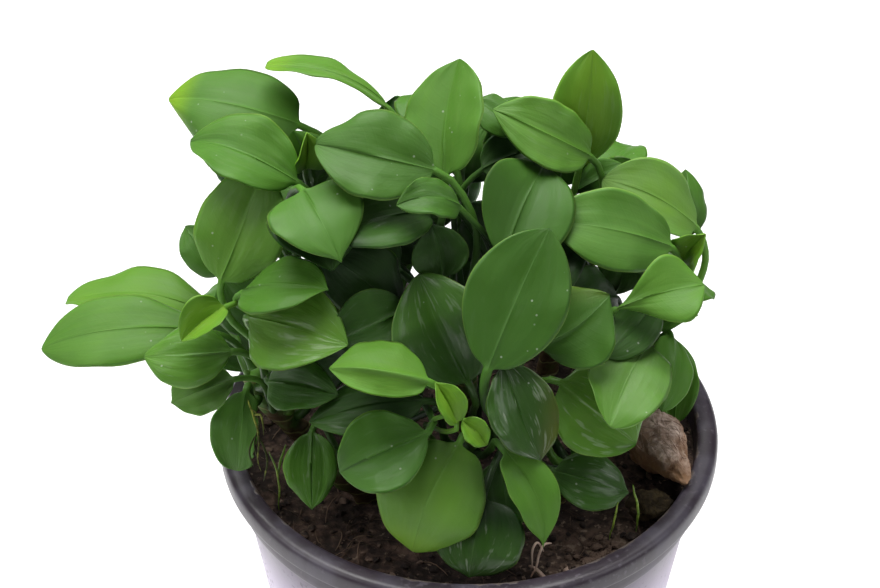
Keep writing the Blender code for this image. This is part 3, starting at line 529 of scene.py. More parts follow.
# Leaves that differ from the rest.
# Outline: peak moves the widest place, above 1 toward the tip, body fills it out as it falls, point draws
# the tip out, narrowLeft and narrowRight thin one half, torn takes a piece out of the right half.
# Form: left and right roll the margins up or down in shares of the width, tipCurl the right one near the tip,
# stalk is the petiole's thickness in shares of the imported one.
# Colour: tone runs from dark green 0 over light 1 to young 2, wet is the shine, the grey cast is a painted
# sheen, tint a young tip, rust a brown cast on the right and the tip, shaded how much of the painted depth
# shade it takes.
leafCare = {
    "front_hero": dict(tone=0.2, peak=0.99, body=0.62, point=0.12, stalk=1.0,
                       left=0.0, right=-0.03, wet=0.05),
    "front_low": dict(tone=1.3, peak=0.98, body=0.56, point=0.0, tint=0.25, wet=0.05, bloom=0.34),
    "front_bright": dict(tone=0.98, peak=0.92, right=-0.1, narrowRight=0.45, wet=0.0),
    "front_hanging": dict(tone=0.74, peak=0.72, point=1.1, left=0.05,
                          wet=0.0, narrowLeft=0.16, narrowRight=0.18),
    "gloss": dict(tone=0.34, wet=0.7, left=0.08, body=0.56),
    "left_far": dict(tone=0.8, bloom=0.1, peak=1.12, body=0.55, point=0.1, wet=0.0),
    "left_rear": dict(tone=1.25, peak=1.15, body=0.52, point=0.0, wet=0.0),
    "left_curly": dict(tone=0.78, wet=0.3, left=0.12, right=0.1, peak=1.0),
    "left_big": dict(tone=1.25, shaded=0.6, wet=0.1, bloom=0.16),
    "left_high": dict(tone=0.5, wet=0.1, point=0.5),
    "left_glossy": dict(tone=1.2, bloom=0.12, shaded=0.6, wet=0.7, body=0.55),
    "left_dark": dict(tone=0.16, wet=0.4), "left_round": dict(tone=0.38, torn=0.42, point=0.0),
    "left_grey": dict(tone=0.9, bloom=0.22),
    "top_fold": dict(tone=0.4, bloom=0.14, peak=0.74, point=0.7, wet=0.0),
    "top_trough": dict(tone=0.54, wet=0.1, body=0.55),
    "top_rear": dict(tone=0.46, bloom=0.14, shaded=0.4, peak=0.8, body=0.55,
                     tipCurl=0.3, tint=0.5, wet=0.0),
    "top_under": dict(tone=0.3, right=0.12),
    "crest": dict(tone=0.7, peak=0.88, point=0.15, wet=0.0, narrowRight=0.12, bloom=0.1),
    "crest_grey": dict(tone=0.3, bloom=0.1, wet=0.1, body=0.55, peak=1.0, point=0.1),
    "crest_edge": dict(tone=0.95, peak=1.35, body=0.42, point=0.0, tint=0.3),
    "right_crest": dict(tone=1.1, bloom=0.18), "right_upright": dict(tone=2.0, peak=0.9, shaded=0.3),
    "right_grey": dict(tone=0.56, bloom=0.22, wet=0.0, body=0.52, peak=1.0, point=0.2),
    "right_light": dict(tone=1.6, bloom=0.55, point=0.1, body=0.5, wet=0.0),
    "right_wedge": dict(tone=0.88, peak=1.8, body=0.75, point=0.0, wet=0.0),
    "right_mid": dict(tone=0.27, rust=0.25, wet=0.0, narrowRight=0.12),
    "right_square": dict(tone=1.0, point=0.15, body=0.5, bloom=0.5), "right_under": dict(tone=0.12),
    "right_low": dict(tone=1.0, shaded=0.6, wet=0.9, right=0.08, body=0.5),
    "behind_hero": dict(tone=0.24, wet=0.0), "right_inner": dict(tone=0.55),
    "front_olive": dict(tone=0.0, wet=0.9, rust=0.38, point=0.4),
    "low_front": dict(tone=0.0, wet=0.9, body=0.55), "low_right": dict(tone=0.14, wet=0.7),
    "low_mid": dict(tone=0.26, point=0.0, body=0.7), "low_long": dict(tone=0.14, wet=0.3),
    "low_left": dict(tone=0.5, wet=0.5, peak=0.9, point=0.6),
}
plainCare = dict(torn=0.0, tipCurl=0.0, body=0.60, narrowLeft=0.0, narrowRight=0.0, stalk=0.76,
                 shaded=1.0, tint=0.0, rust=0.0, wet=0.15, bloom=0.04)
youngCare = dict(body=0.55)
fillerCare = {"rhizome_centre": dict(body=0.52, narrowLeft=-0.10, narrowRight=-0.10)}  # wider, to close gaps
restCare = dict(body=0.62)
slotTones = {"leaf": 0.45, "leaf_light": 0.85, "leaf_dark": 0.12}


# Half widths along a blade, from base 0 to tip 1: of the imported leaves, and of these.
def packedWidth(t):
    return 0.5 * np.sin(np.pi * t ** 0.85) ** 0.7


def grownWidth(t, care):
    return 0.5 * np.abs(np.sin(np.pi * t ** care["peak"])) ** (care["body"] + care["point"] * t ** 8)


# The blade's middle surface: how far along and across, to points.
def bladeSurface(leaf, places, across, care):
    blade = leaf["blade"]
    knots = np.array((0.0, *bladePlaces, 1.0))
    middles = (blade[:, onTop] + blade[:, below]) / 2
    centres = np.vstack((leaf["petiole"][-1].mean(0), middles, leaf["tip"]))
    wide = packedWidth(np.array(bladePlaces))[:, None]
    surface = np.zeros((len(places), len(across), 3))
    centre = smoothThrough(knots, centres, places)
    spread = grownWidth(places, care)[:, None]
    ragged = np.array([noise.noise(Vector((place * 14, 0, 0))) for place in places])
    missing = care["torn"] * easeIn(places / 0.25) * easeIn((0.95 - places) / 0.2) * (1 + 0.6 * ragged)
    soft = leafShape["softFold"]
    for margin, sign, narrow in ((atLeft, -1, care["narrowLeft"]), (atRight, 1, care["narrowRight"])):
        reach = (blade[:, margin] - middles) / wide
        half = (blade[:, margin + 1] + blade[:, margin - 1]) / 2 - middles
        bend = (half / wide - reach * 0.5) * leafShape["flat"]
        reach = smoothThrough(knots, np.vstack((reach[0], reach, reach[-1])), places) * spread
        bend = smoothThrough(knots, np.vstack((bend[0] * 0.5, bend, bend[-1] * 0.5)), places) * spread
        for column, u in enumerate(across):
            if u * sign >= 0 and not (u == 0 and sign > 0):
                out = math.sqrt(u * u + soft) - math.sqrt(soft) * (1 - abs(u))
                out = np.full((len(places), 1), out * (1 - narrow))
                if sign > 0:
                    out = out * (1 - missing[:, None])
                surface[:, column] = centre + reach * out + bend * (4 * out * (1 - out))
    rows = unit(np.gradient(surface, axis=0))
    columns = unit(np.gradient(surface, axis=1))
    normal = unit(np.cross(columns, rows))
    return surface, normal


# How far ruffles, creases and rolled margins lift the blade, t along it and u across it.
def liftOf(t, u, width, care, rng):
    shape = leafShape
    inward = np.sin(np.pi * t) ** 0.5
    phase = rng.uniform(0, 2 * math.pi)
    ruffle = (np.sin(t * rng.uniform(9, 15) + phase + np.where(u > 0, 2.0, 0.0))
              + 0.5 * np.sin(t * rng.uniform(20, 30) + phase * 1.7)) * np.abs(u) ** 3
    lift = ruffle * shape["ruffle"] * rng.uniform(0.5, 1.5) * min(1.0, width / shape["fullWidth"])
    creases = np.array([[noise.noise(Vector((side * 3.4 + phase * 9, place * 1.8, phase))) for side in u[0]]
                        for place in t[:, 0]])
    lift = lift + creases * shape["crease"] * inward
    for sign, curl in ((-1, care["left"]), (1, care["right"])):
        outer = np.clip((u * sign - 0.5) / 0.5, 0, 1)
        atTip = easeIn((t - 0.5) / 0.4) * care["tipCurl"] * (sign > 0)
        lift = lift + (curl + atTip) * width * outer ** 2 * inward
    return lift


# The petiole from its foot to the blade: its line, its two directions, its radii and how far up each is.
def stalkOf(leaf, midrib, care):
    shape, petiole = leafShape, leaf["petiole"]
    centres = petiole.mean(1)
    radii = np.linalg.norm(petiole - centres[:, None], axis=2).mean(1)
    ring = petiole[0] - centres[0]
    facing = unit(np.cross(ring[atLeft], ring[onTop]))
    if facing @ (centres[1] - centres[0]) < 0:
        facing = -facing
    path = np.vstack((centres[0] - facing * shape["sunk"], centres, midrib[2], midrib[5]))
    knots = np.concatenate(([0.0], np.cumsum(np.linalg.norm(np.diff(path, axis=0), axis=1))))
    joint = len(centres)
    at = np.linspace(0, knots[joint], shape["petioleStations"] + 1)
    line = smoothThrough(knots, path, at)
    sides = unit(petiole[:, atRight] - petiole[:, atLeft])
    bladeSide = unit(leaf["blade"][0, atRight] - leaf["blade"][0, atLeft])
    side = smoothThrough(knots, np.vstack((sides[0], sides, bladeSide, bladeSide)), at)
    tangent = unit(np.gradient(line, axis=0))
    side = unit(side - tangent * (side * tangent).sum(1, keepdims=True))
    fromFoot = at / knots[joint]
    reach = np.interp(at, knots[:joint + 1], np.concatenate(([radii[0]], radii))) * care["stalk"]
    reach = reach * (1 + shape["sheath"] * np.exp(-((fromFoot - 0.03) / 0.13) ** 2))
    return line, side, np.cross(side, tangent), reach * (1 + shape["flare"] * fromFoot ** 6), fromFoot


# A leaf as one closed skin: the petiole's round rings pass over into the flat rings of the blade.
def buildLeaf(leaf, rng, care):
    shape, width = leafShape, widthOf(leaf)
    care = {"peak": rng.uniform(0.84, 1.02), "point": rng.uniform(0.08, 0.40),
            "left": rng.uniform(-0.08, 0.06), "right": rng.uniform(-0.08, 0.06), **care}
    halves = np.array(shape["across"])
    across = np.concatenate((-halves[:0:-1], halves))
    count = len(across)
    step = np.linspace(0, 1, shape["stations"] + 1)[:-1]
    places = np.clip(0.20 * step + 0.80 * (0.5 - 0.5 * np.cos(np.pi * step)), 0, 1)
    surface, normal = bladeSurface(leaf, np.append(places, 0.995), across, care)
    surface, normal = surface[:-1], normal[:-1]
    t, u = places[:, None], across[None, :]
    surface = surface + normal * liftOf(t, u, width, care, rng)[..., None]
    distance = np.abs(u) * grownWidth(t, care) * width
    body = (shape["thickness"] - shape["thinning"] * t) * np.sqrt(np.maximum(0, 1 - np.abs(u) ** 7))
    top = body - shape["groove"] * (1 - 0.7 * t) * np.exp(-(distance / shape["grooveWidth"]) ** 2)
    low = body + shape["ridge"] * (1 - t) ** 1.2 * np.exp(-(distance / shape["ridgeWidth"]) ** 2)
    over = surface + normal * top[..., None]
    beneath = surface - normal * low[..., None]
    rings = np.concatenate((over, beneath[:, -2:0:-1]), axis=1)

    midrib = surface[:, count // 2]
    line, side, rise, reach, fromFoot = stalkOf(leaf, midrib, care)
    turns = np.linspace(math.pi, -math.pi, 2 * count - 1)[:-1]
    tube = circles(line, side, rise, reach, turns)
    blend = easeIn(places / shape["join"])[:, None, None]
    acrossWay = unit(surface[:, -1] - surface[:, 0] + side[-1] * 1e-9)
    acrossWay = unit(side[-1] * (1 - blend[:, 0]) + acrossWay * blend[:, 0])
    upWay = unit(rise[-1] * (1 - blend[:, 0]) + normal[:, count // 2] * blend[:, 0])
    root = circles(midrib, acrossWay, upWay, reach[-1] * (1 - 0.45 * blend[:, 0, 0]), turns)
    rings = root * (1 - blend) + rings * blend
    rings[0] = tube[-1]
    rings = np.concatenate((tube[:-1], rings))

    points = np.vstack((rings.reshape(-1, 3), line[0], leaf["tip"]))
    alongRings = np.concatenate((fromFoot[:-1] - 1, places))
    acrossLoop = np.concatenate((across, across[-2:0:-1]))
    underLoop = np.concatenate((np.zeros(count), np.ones(count - 2)))
    underLoop[0] = underLoop[count - 1] = 0.5
    marks = {
        "along": np.append(np.repeat(alongRings, rings.shape[1]), (-1.0, 1.0)),
        "across": np.append(np.tile(acrossLoop, len(rings)), (0.0, 0.0)),
        "underside": np.append(np.tile(underLoop, len(rings)), (0.5, 0.3)),
    }
    return points, skinFaces(points, rings.shape[1]), marks


# The clump round its middle, measured from the rim's height, and what counts as young or light in it.
clump = {
    "heart": Vector((-6, 0, 20)) * mm, "middle": np.array((-6, 0, 25)) * mm,
    "half": np.array((45, 40, 45)) * mm, "youngWidth": 9 * mm, "youngFold": -0.45, "lightAt": 0.3,
}


# How shut in each point is: the share of short rays up and outward that meet other leaves, used to paint shade
# into the leaf colour.
def shutIn(points, step, crowd):
    shape = leafShape
    middle = clump["heart"] + Vector((0, 0, rimHeight))
    turn = math.pi * (3 - math.sqrt(5))
    ways = [Vector((math.cos(k * turn) * math.sqrt(1 - h * h), math.sin(k * turn) * math.sqrt(1 - h * h), h))
            for k, h in enumerate(np.linspace(0.05, 0.97, shape["openRays"]))]
    some = np.arange(0, len(points), step)
    values = []
    for index in some:
        spot = Vector(points[index])
        away = (spot - middle).normalized() * 0.5
        met = 0
        for way in ways:
            ray = (way + away).normalized()
            met += crowd.ray_cast(spot + ray * shape["clear"], ray, shape["openReach"])[0] is not None
        values.append(met / len(ways))
    return np.interp(np.arange(len(points)), some, values)


# Narrow folded leaves are young, and the others get lighter outward, a painted shade that darkens the leaves
# toward the middle of the clump.
def toneOf(leaf, rng):
    ring = leaf["blade"][midBlade]
    middle = (ring[onTop] + ring[below]) / 2
    fold = unit(ring[atLeft] - middle) @ unit(ring[atRight] - middle)
    if widthOf(leaf) < clump["youngWidth"] and fold > clump["youngFold"]:
        return 2.0
    out = leaf["tip"] - clump["middle"] - np.array((0, 0, rimHeight))
    out = np.linalg.norm(out / clump["half"])
    return float(np.clip(0.06 + 0.60 * (out - 0.55), 0.04, 0.75)) + rng.uniform(-0.04, 0.10)


def growLeaf(leaf, name, tone, care, crowd):
    rng = random.Random(name)
    care = {**plainCare, **care, "tone": tone}
    points, faces, marks = buildLeaf(leaf, rng, care)
    ring = 4 * len(leafShape["across"]) - 4
    # painted shade: how shut in each point is, smoothed along the rings
    shut = shutIn(points, ring // 4, crowd) * care["shaded"]
    marks["deep"] = np.convolve(np.pad(shut, ring, "edge"), np.ones(2 * ring + 1) / (2 * ring + 1), "valid")
    marks["chance"] = np.full(len(points), rng.random())
    for mark in ("tint", "tone", "rust", "wet", "bloom"):
        marks[mark] = np.full(len(points), care[mark])
    return points, faces, marks


# ---- stems

stemLook = {
    "green": colour(0.075, 0.165, 0.025), "brown": colour(0.07, 0.045, 0.018), "scar": colour(0.2, 0.2, 0.07),
    "voxel": 0.34 * mm, "scarDepth": 0.16 * mm, "scarGap": 3.1 * mm, "scarWidth": 0.35,
    "wobble": 0.22 * mm, "waver": 0.8 * mm, "foot": 1.0 * mm, "sink": 1.8 * mm,
}


def stemSkin():
    look = stemLook
    skin = Finish("stemSkin", {"Specular IOR Level": 0.4})
    height = skin.coordinate("Z")
    blotch = skin.cloud(260.0, 5.0)
    rings = skin.ease(abs(((height + blotch * 0.0022) * (math.pi / look["scarGap"])).sine()), 0.0, 0.30)
    low = 1 - skin.ease(height, rimHeight - 0.005, rimHeight + 0.012)
    shade = skin.mix(look["green"], look["brown"], skin.ease(blotch + low * 0.35, 0.50, 0.75))
    shade = skin.mix(look["scar"], shade, rings)
    fine = skin.cloud(1500.0, 3.0)
    height = rings * 0.5 + blotch + fine * 0.4
    return skin.wear(Base_Color=shade, Roughness=0.42 + blotch * 0.25, Normal=skin.bump(height, 0.0003, 0.8))


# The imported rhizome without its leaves, sunk into the peat and made ringed and uneven.
def buildStem(name, node, bm, leaves, finish):
    look = stemLook
    gone = {vert for leaf in leaves for ring in leaf["rings"][:-1] for vert in ring}
    gone.update(vert for vert in bm.verts if len(vert.link_edges) == ringSize and ringsFrom(vert))
    bmesh.ops.delete(bm, geom=list(gone), context="VERTS")
    bmesh.ops.holes_fill(bm, edges=[edge for edge in bm.edges if edge.is_boundary], sides=0)
    low = min(vert.co.z for vert in bm.verts)
    for vert in bm.verts:
        if vert.co.z < low + look["foot"]:
            vert.co.z -= look["sink"]
    bmesh.ops.recalc_face_normals(bm, faces=bm.faces)
    holder = addHolder(name + "Rough", bm)
    remesh = holder.modifiers.new("even", "REMESH")
    remesh.mode = "VOXEL"
    remesh.voxel_size = look["voxel"]
    bpy.context.view_layer.update()
    even = bmesh.new()
    even.from_object(holder, bpy.context.evaluated_depsgraph_get())
    bpy.data.objects.remove(holder)
    for _ in range(5):
        evenOut(even)
    even.normal_update()
    for vert in even.verts:
        wobble = noise.noise(vert.co * 420) * look["wobble"]
        height = vert.co.z + noise.noise(vert.co * 150) * look["waver"]
        ring = abs(math.sin(height * math.pi / look["scarGap"]))
        scar = look["scarDepth"] * (1 - min(1.0, ring / look["scarWidth"]))
        vert.co += vert.normal * (wobble - scar)
    points, faces = takeMesh(even)
    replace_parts(addPiece(name, points, faces, finish), node)


def makePlant():
    skin, bark = leafSkin(), stemSkin()
    everyLeaf = bmesh.new()
    for node in nodes:
        if node.startswith(("leaf_", "rhizome_")):
            everyLeaf.from_mesh(nodes[node].data)
    crowd = BVHTree.FromBMesh(everyLeaf)
    everyLeaf.free()
    total = 0
    for node in sorted(nodes):
        if not node.startswith(("leaf_", "rhizome_")):
            continue
        bm = cadMesh(node)
        leaves = leavesIn(bm)
        total += len(leaves)
        if node.startswith("leaf_"):
            name = node.replace("leaf_", "leaf-")
            care = leafCare.get(node.removeprefix("leaf_"), {})
            tone = care.get("tone", slotTones[slotOf[node]])
            points, faces, marks = growLeaf(leaves[0], name, tone, care, crowd)
            bm.free()
            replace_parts(addPiece(name, points, faces, skin, marks), node)
            continue
        parts = []
        for index, leaf in enumerate(leaves):
            name = f"{node}-{index}"
            tone = toneOf(leaf, random.Random(name))
            care = youngCare if tone > 1 else fillerCare.get(node, restCare)
            parts.append(growLeaf(leaf, name, tone, care, crowd))
        points, faces, marks = gather(parts)
        slot = "leaf" if marks["tone"].mean() > clump["lightAt"] else "leaf_dark"
        addPiece(node.replace("rhizome_", "leavesOn-"), points, faces, skin, marks)
        buildStem(node.replace("rhizome_", "stem-"), node, bm, leaves, bark)
    print("plant grown:", total, "leaves")


# ---- pot

pot = {
    "sides": 256, "height": 78.0, "rim": 45.0, "inner": 41.2, "band": 4.2, "second": 9.0,
    "secondRadius": 43.0, "neck": 41.6, "base": 32.0, "wall": 1.2, "floor": 1.6,
    "drains": 6, "drainRadius": 2.6, "drainRing": 22.0, "uneven": 0.10, "calmBelow": 30.0,
    # the pale lavender is a little dust and mostly a painted reflection of the pale floor
    "plastic": colour(0.04, 0.03, 0.041), "worn": colour(0.13, 0.112, 0.14), "dust": colour(0.7, 0.6, 0.8),
    "dirt": colour(0.15, 0.115, 0.09), "streak": colour(0.075, 0.065, 0.088),
    "pin": colour(0.05, 0.045, 0.06),
}


def potSkin():
    look = pot
    skin = Finish("potPlastic", {"Specular IOR Level": 0.5})
    height = skin.coordinate("Z")
    radius = skin.awayFrom((0, 0, 0))
    wide, fine = skin.cloud(55.0, 4.0), skin.cloud(900.0, 4.0)
    flow = skin.cloud(160.0, 5.0, skin.stretched((1, 1, 0.12)))
    # painted reflection: lighter where the wall is seen at a grazing angle
    paintedGrazingReflection = skin.ease(skin.add("ShaderNodeLayerWeight", {}, {"Blend": 0.35}, "Facing"), 0.18, 0.60)
    wallDown = 1 - skin.ease(height, rimHeight - 0.030, rimHeight - 0.004)
    scuff = skin.ease(fine + wide * 0.5, 0.84, 1.0)
    top = skin.ease(height, rimHeight - 0.0022, rimHeight - 0.0006)
    inner = 1 - skin.ease(radius, 0.0413, 0.0426)
    dirt = top * skin.ease(skin.cloud(240.0, 5.0) * 0.8 + wide * 0.2 + inner * 0.20, 0.66, 0.76)
    inside = 1 - skin.ease(radius, 0.0400, 0.0412)
    inside = inside * skin.ease(height, rimHeight - 0.0080, rimHeight - 0.0030)
    rightSide = skin.ease(skin.coordinate("X"), 0.016, 0.020)
    pins = (1 - skin.ease(skin.cells(300.0), 0.05, 0.08)) * wallDown * rightSide
    shade = skin.cover(
        look["plastic"], look,
        streak=skin.ease(flow, 0.42, 0.70),
        # a little dust low on the wall, and mostly painted reflection toward the silhouette
        dust=wallDown * (0.07 + (wide - 0.5) * 0.14 + paintedGrazingReflection * 0.93),
        worn=scuff * 0.6,
        dirt=dirt * 0.7 + inside * skin.ease(wide, 0.5, 0.7) * 0.3,
        pin=pins)
    rough = 0.34 + (flow - 0.5) * 0.30 + scuff * 0.15 + dirt * 0.3
    height = flow * 0.6 + fine * 0.35 + dirt * 1.5 - pins * 2.0
    return skin.wear(Base_Color=shade, Roughness=rough, Normal=skin.bump(height, 0.00018, 0.6))


# The wall's outline in millimetres, radius and height, outside from the base up and inside back down.
def potProfile():
    look, top = pot, pot["height"]
    second, band = top - look["second"], top - look["band"]
    rim, inner, neck, step = look["rim"], look["inner"], look["neck"], look["secondRadius"]
    wall, base, floor = look["wall"], look["base"], look["floor"]
    outside = [(base - 6.0, 0.0), (base - 0.9, 0.0), (base - 0.3, 0.2), (base, 0.8)]
    outside += [(base + (neck - base) * s, 0.8 + (second - 0.8) * s) for s in np.linspace(0.08, 1.0, 14)[:-1]]
    outside += [(neck - 0.05, second - 0.4), (neck, second - 0.1), (step - 0.45, second),
                (step - 0.1, second + 0.15), (step, second + 0.55)]
    outside += [(step, z) for z in np.linspace(second + 1.4, band - 0.4, 4)]
    outside += [(step + 0.1, band - 0.05), (rim - 0.9, band), (rim - 0.35, band + 0.12),
                (rim - 0.08, band + 0.4), (rim, band + 0.9), (rim, band + 1.9), (rim - 0.02, top - 1.4),
                (rim - 0.14, top - 0.85), (rim - 0.42, top - 0.42), (rim - 0.85, top - 0.14), (rim - 1.4, top)]
    inside = [(rim - 2.4, top - 0.02), (inner + 0.6, top - 0.10), (inner + 0.22, top - 0.28),
              (inner, top - 0.75), (inner - 0.02, top - 1.6)]
    inside += [(inner - 0.02 + (neck - wall - inner) * s, top - 1.6 + (second - top + 1.6) * s)
               for s in np.linspace(0.25, 1.0, 4)]
    inside += [(neck - wall + (base - neck) * s, second + (floor - second) * s)
               for s in np.linspace(0.1, 1.0, 10)]
    return [*outside, *inside, (base - wall - 5.0, floor)]


def makePot():
    look, sides, calm = pot, pot["sides"], pot["calmBelow"]
    points = []
    for radius, z in potProfile():
        for side in range(sides):
            turn = 2 * math.pi * side / sides
            place = Vector((*around(1, turn), z * 0.02))
            near = max(0.0, (z - calm) / (look["height"] - calm)) * (radius > 30)  # only high on the wall
            wobble = look["uneven"] * near * (noise.noise(place * 1.6) + 0.35 * noise.noise(place * 9))
            drop = look["uneven"] * near ** 4 * noise.noise(place * 3.1 + Vector((4, 0, 0)))
            x, y = around(radius + min(0.0, wobble), turn)
            points.append((x * mm, y * mm, (z + min(0.0, drop)) * mm))
    points += [(0, 0, 0), (0, 0, look["floor"] * mm)]
    piece = addPiece("pot-shell", points, skinFaces(points, sides), potSkin())
    drills = bmesh.new()
    for index in range(look["drains"]):
        spot = (*around(look["drainRing"] * mm, 2 * math.pi * index / look["drains"]), 0)
        bmesh.ops.create_cone(drills, cap_ends=True, segments=32, radius1=look["drainRadius"] * mm,
                              radius2=look["drainRadius"] * mm, depth=8 * mm, matrix=Matrix.Translation(spot))
    holder = addHolder("drains", drills)
    cut = piece.modifiers.new("drains", "BOOLEAN")
    cut.operation = "DIFFERENCE"
    cut.solver = "EXACT"
    cut.object = holder
    bpy.context.view_layer.update()
    drilled = bpy.data.meshes.new_from_object(piece.evaluated_get(bpy.context.evaluated_depsgraph_get()))
    piece.modifiers.clear()
    piece.data = drilled
    bpy.data.objects.remove(holder)
    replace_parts(piece, "pot")
    print("pot turned")


# ---- peat, its crumbs and fibres

peat = {
    "rings": 78, "sides": 300, "edge": 41.0 * mm, "overlap": 0.8 * mm, "inset": 1.4 * mm,
    "lowEdge": 8.2 * mm, "foot": 29.8 * mm, "footRise": 0.4 * mm, "crumb": 0.55, "grain": 0.22,
    "dark": colour(0.02, 0.013, 0.011), "brown": colour(0.12, 0.074, 0.056), "pale": colour(0.3, 0.22, 0.165),
    "dryTone": colour(0.15, 0.10, 0.075), "drySpot": (24 * mm, -32 * mm, 0.0),
    "crumbs": 620, "dryCrumbs": 90, "fibres": 260, "fibreReach": 39.6 * mm, "fibreSteps": 8, "seed": 21,
    "fibreDark": colour(0.045, 0.026, 0.018), "fibreLight": colour(0.17, 0.11, 0.075),
}


def peatSkin():
    look = peat
    skin = Finish("peatSkin", {"Specular IOR Level": 0.3})
    coarse, fine = skin.cloud(140.0, 6.0), skin.cloud(700.0, 5.0)
    cells = skin.cells(520.0)
    shade = skin.mix(look["dark"], look["brown"], skin.ease(coarse * 0.6 + fine * 0.4, 0.44, 0.68))
    dry = 1 - skin.ease(skin.awayFrom(look["drySpot"]) + (coarse - 0.5) * 0.010, 0.004, 0.016)
    shade = skin.mix(shade, look["dryTone"], dry * skin.ease(fine, 0.30, 0.60) * 0.8)
    shade = skin.mix(shade, look["pale"], skin.ease(skin.cloud(900.0, 4.0) + dry * 0.12, 0.62, 0.74) * 0.6)
    return skin.wear(Base_Color=shade, Roughness=0.95 - skin.ease(coarse, 0.55, 0.8) * 0.35,
                     Normal=skin.bump(fine + cells * 0.5 + coarse, 0.0007, 0.9))


def fibreSkin(name, dark, light, rough=0.8, foot=None):
    skin = Finish(name, {"Specular IOR Level": 0.3})
    grain, spots = skin.cloud(1100.0, 4.0), skin.cloud(240.0, 3.0)
    mottle = grain * 0.5 + spots * 0.5 + (skin.mark("chance") - 0.5) * 0.3
    shade = skin.mix(dark, light, skin.ease(mottle, 0.40, 0.66))
    if foot:
        height = skin.coordinate("Z") + (spots - 0.5) * 0.006
        shade = skin.mix(shade, foot, (1 - skin.ease(height, rimHeight, rimHeight + 0.006)) * 0.7)
    return skin.wear(Base_Color=shade, Roughness=rough + (grain - 0.5) * 0.2,
                     Normal=skin.bump(grain + spots * 0.6, 0.0003, 0.8))


def treeOf(node):
    bm = cadMesh(node)
    tree = BVHTree.FromBMesh(bm)
    bm.free()
    return tree


def peatRelief(x, y):
    at = Vector((x, y, 0)) / mm
    lumpy = noise.noise(at * 0.55) * 0.6 + abs(noise.noise(at * 0.95 + Vector((9, 2, 0)))) * 0.7 - 0.2
    return (peat["crumb"] * lumpy + peat["grain"] * noise.noise(at * 2.3)) * mm


# The height of the peat, where pull moves the place on the packed soil inward.
def peatTop(tree, x, y, pull=1.0, fade=1.0):
    above = Vector((x * pull, y * pull, rimHeight + 0.2))
    return tree.ray_cast(above, Vector((0, 0, -1)))[0].z + peatRelief(x, y) * fade


def makePeat():
    look, sides, edge = peat, peat["sides"], peat["edge"]
    tree = treeOf("soil")
    low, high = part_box("soil")
    safe = (high.x - low.x) / 2 - look["inset"]  # a ray further out could miss the packed soil
    points = []
    for share in np.linspace(0, 1, look["rings"] + 1)[1:] ** 0.85:
        radius = share * edge
        pull = min(1.0, safe / radius)
        fade = 1 - 0.5 * max(0.0, share - 0.9) / 0.1
        for side in range(sides):
            x, y = around(radius, 2 * math.pi * side / sides)
            points.append((x, y, peatTop(tree, x, y, pull, fade)))
    foot = look["foot"]
    for radius, z in ((edge - look["overlap"], rimHeight - look["lowEdge"]),
                      (foot + 0.6 * mm, low.z + look["footRise"]), (foot, low.z)):
        points += [(*around(radius, 2 * math.pi * side / sides), z) for side in range(sides)]
    points += [(0, 0, peatTop(tree, 0, 0)), (0, 0, low.z)]
    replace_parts(addPiece("peat", points, skinFaces(points, sides), peatSkin()), "soil")

    rng = random.Random(look["seed"])
    parts = []
    for index in range(look["crumbs"]):
        radius = edge * math.sqrt(rng.uniform(0.02, 0.97))
        x, y = around(radius, rng.uniform(0, 2 * math.pi))
        size = rng.uniform(0.25, 0.75) * mm if index % 12 else rng.uniform(0.8, 1.4) * mm
        if radius + size > edge:
            continue
        z = peatTop(tree, x, y, min(1.0, safe / radius))
        parts.append(crumb((x, y, z + size * 0.25), size, rng))
    dryX, dryY, _ = look["drySpot"]
    for _ in range(look["dryCrumbs"]):
        x, y = dryX + rng.gauss(0, 3.0) * mm, dryY + rng.gauss(0, 2.2) * mm
        if math.hypot(x, y) > edge - 1.5 * mm:
            continue
        size = rng.uniform(0.3, 0.8) * mm
        z = peatTop(tree, x, y, 0.97)
        points, faces, marks = crumb((x, y, z + size * rng.uniform(0.2, 0.9)), size, rng)
        parts.append((points, faces, {"chance": marks["chance"] * 0.6 + 0.9}))
    finish = fibreSkin("crumbSkin", look["dark"], look["dryTone"])
    addParts("peat-crumbs", parts, finish, smooth=False)
    print("peat laid")


def crumb(centre, size, rng):
    bm = bmesh.new()
    bmesh.ops.create_icosphere(bm, subdivisions=2, radius=1.0)
    shift = Vector((rng.random() * 40, rng.random() * 40, 0))
    stretch = Vector((rng.uniform(0.7, 1.5), rng.uniform(0.7, 1.1), rng.uniform(0.5, 0.8)))
    spin = Matrix.Rotation(rng.uniform(0, math.pi), 3, "Z") @ Matrix.Rotation(rng.uniform(-0.5, 0.5), 3, "X")
    for vert in bm.verts:
        swell = 1 + 0.45 * noise.noise(vert.co * 1.7 + shift) + 0.2 * noise.noise(vert.co * 4 + shift)
        vert.co = spin @ (vert.co * swell * stretch) * size + Vector(centre)
    points, faces = takeMesh(bm)
    return points, faces, {"chance": np.full(len(points), rng.random())}


# A closed thin tube along points, thinner to both ends.
def strand(path, radius, sides, chance, taper=0.6):
    path = np.asarray(path, float)
    tangent = unit(np.gradient(path, axis=0))
    side = unit(np.cross(tangent, np.array((0.13, 0.21, 0.97))))
    up = np.cross(side, tangent)
    share = np.linspace(0, 1, len(path))
    reach = radius * (1 - taper * np.abs(2 * share - 1) ** 3)
    turns = 2 * math.pi * np.arange(sides) / sides
    rings = circles(path, side, up, reach, turns).reshape(-1, 3)
    points = np.vstack((rings, path[0] - tangent[0] * radius * 0.5, path[-1] + tangent[-1] * radius * 0.5))
    return points, skinFaces(points, sides), {"chance": np.full(len(points), chance)}


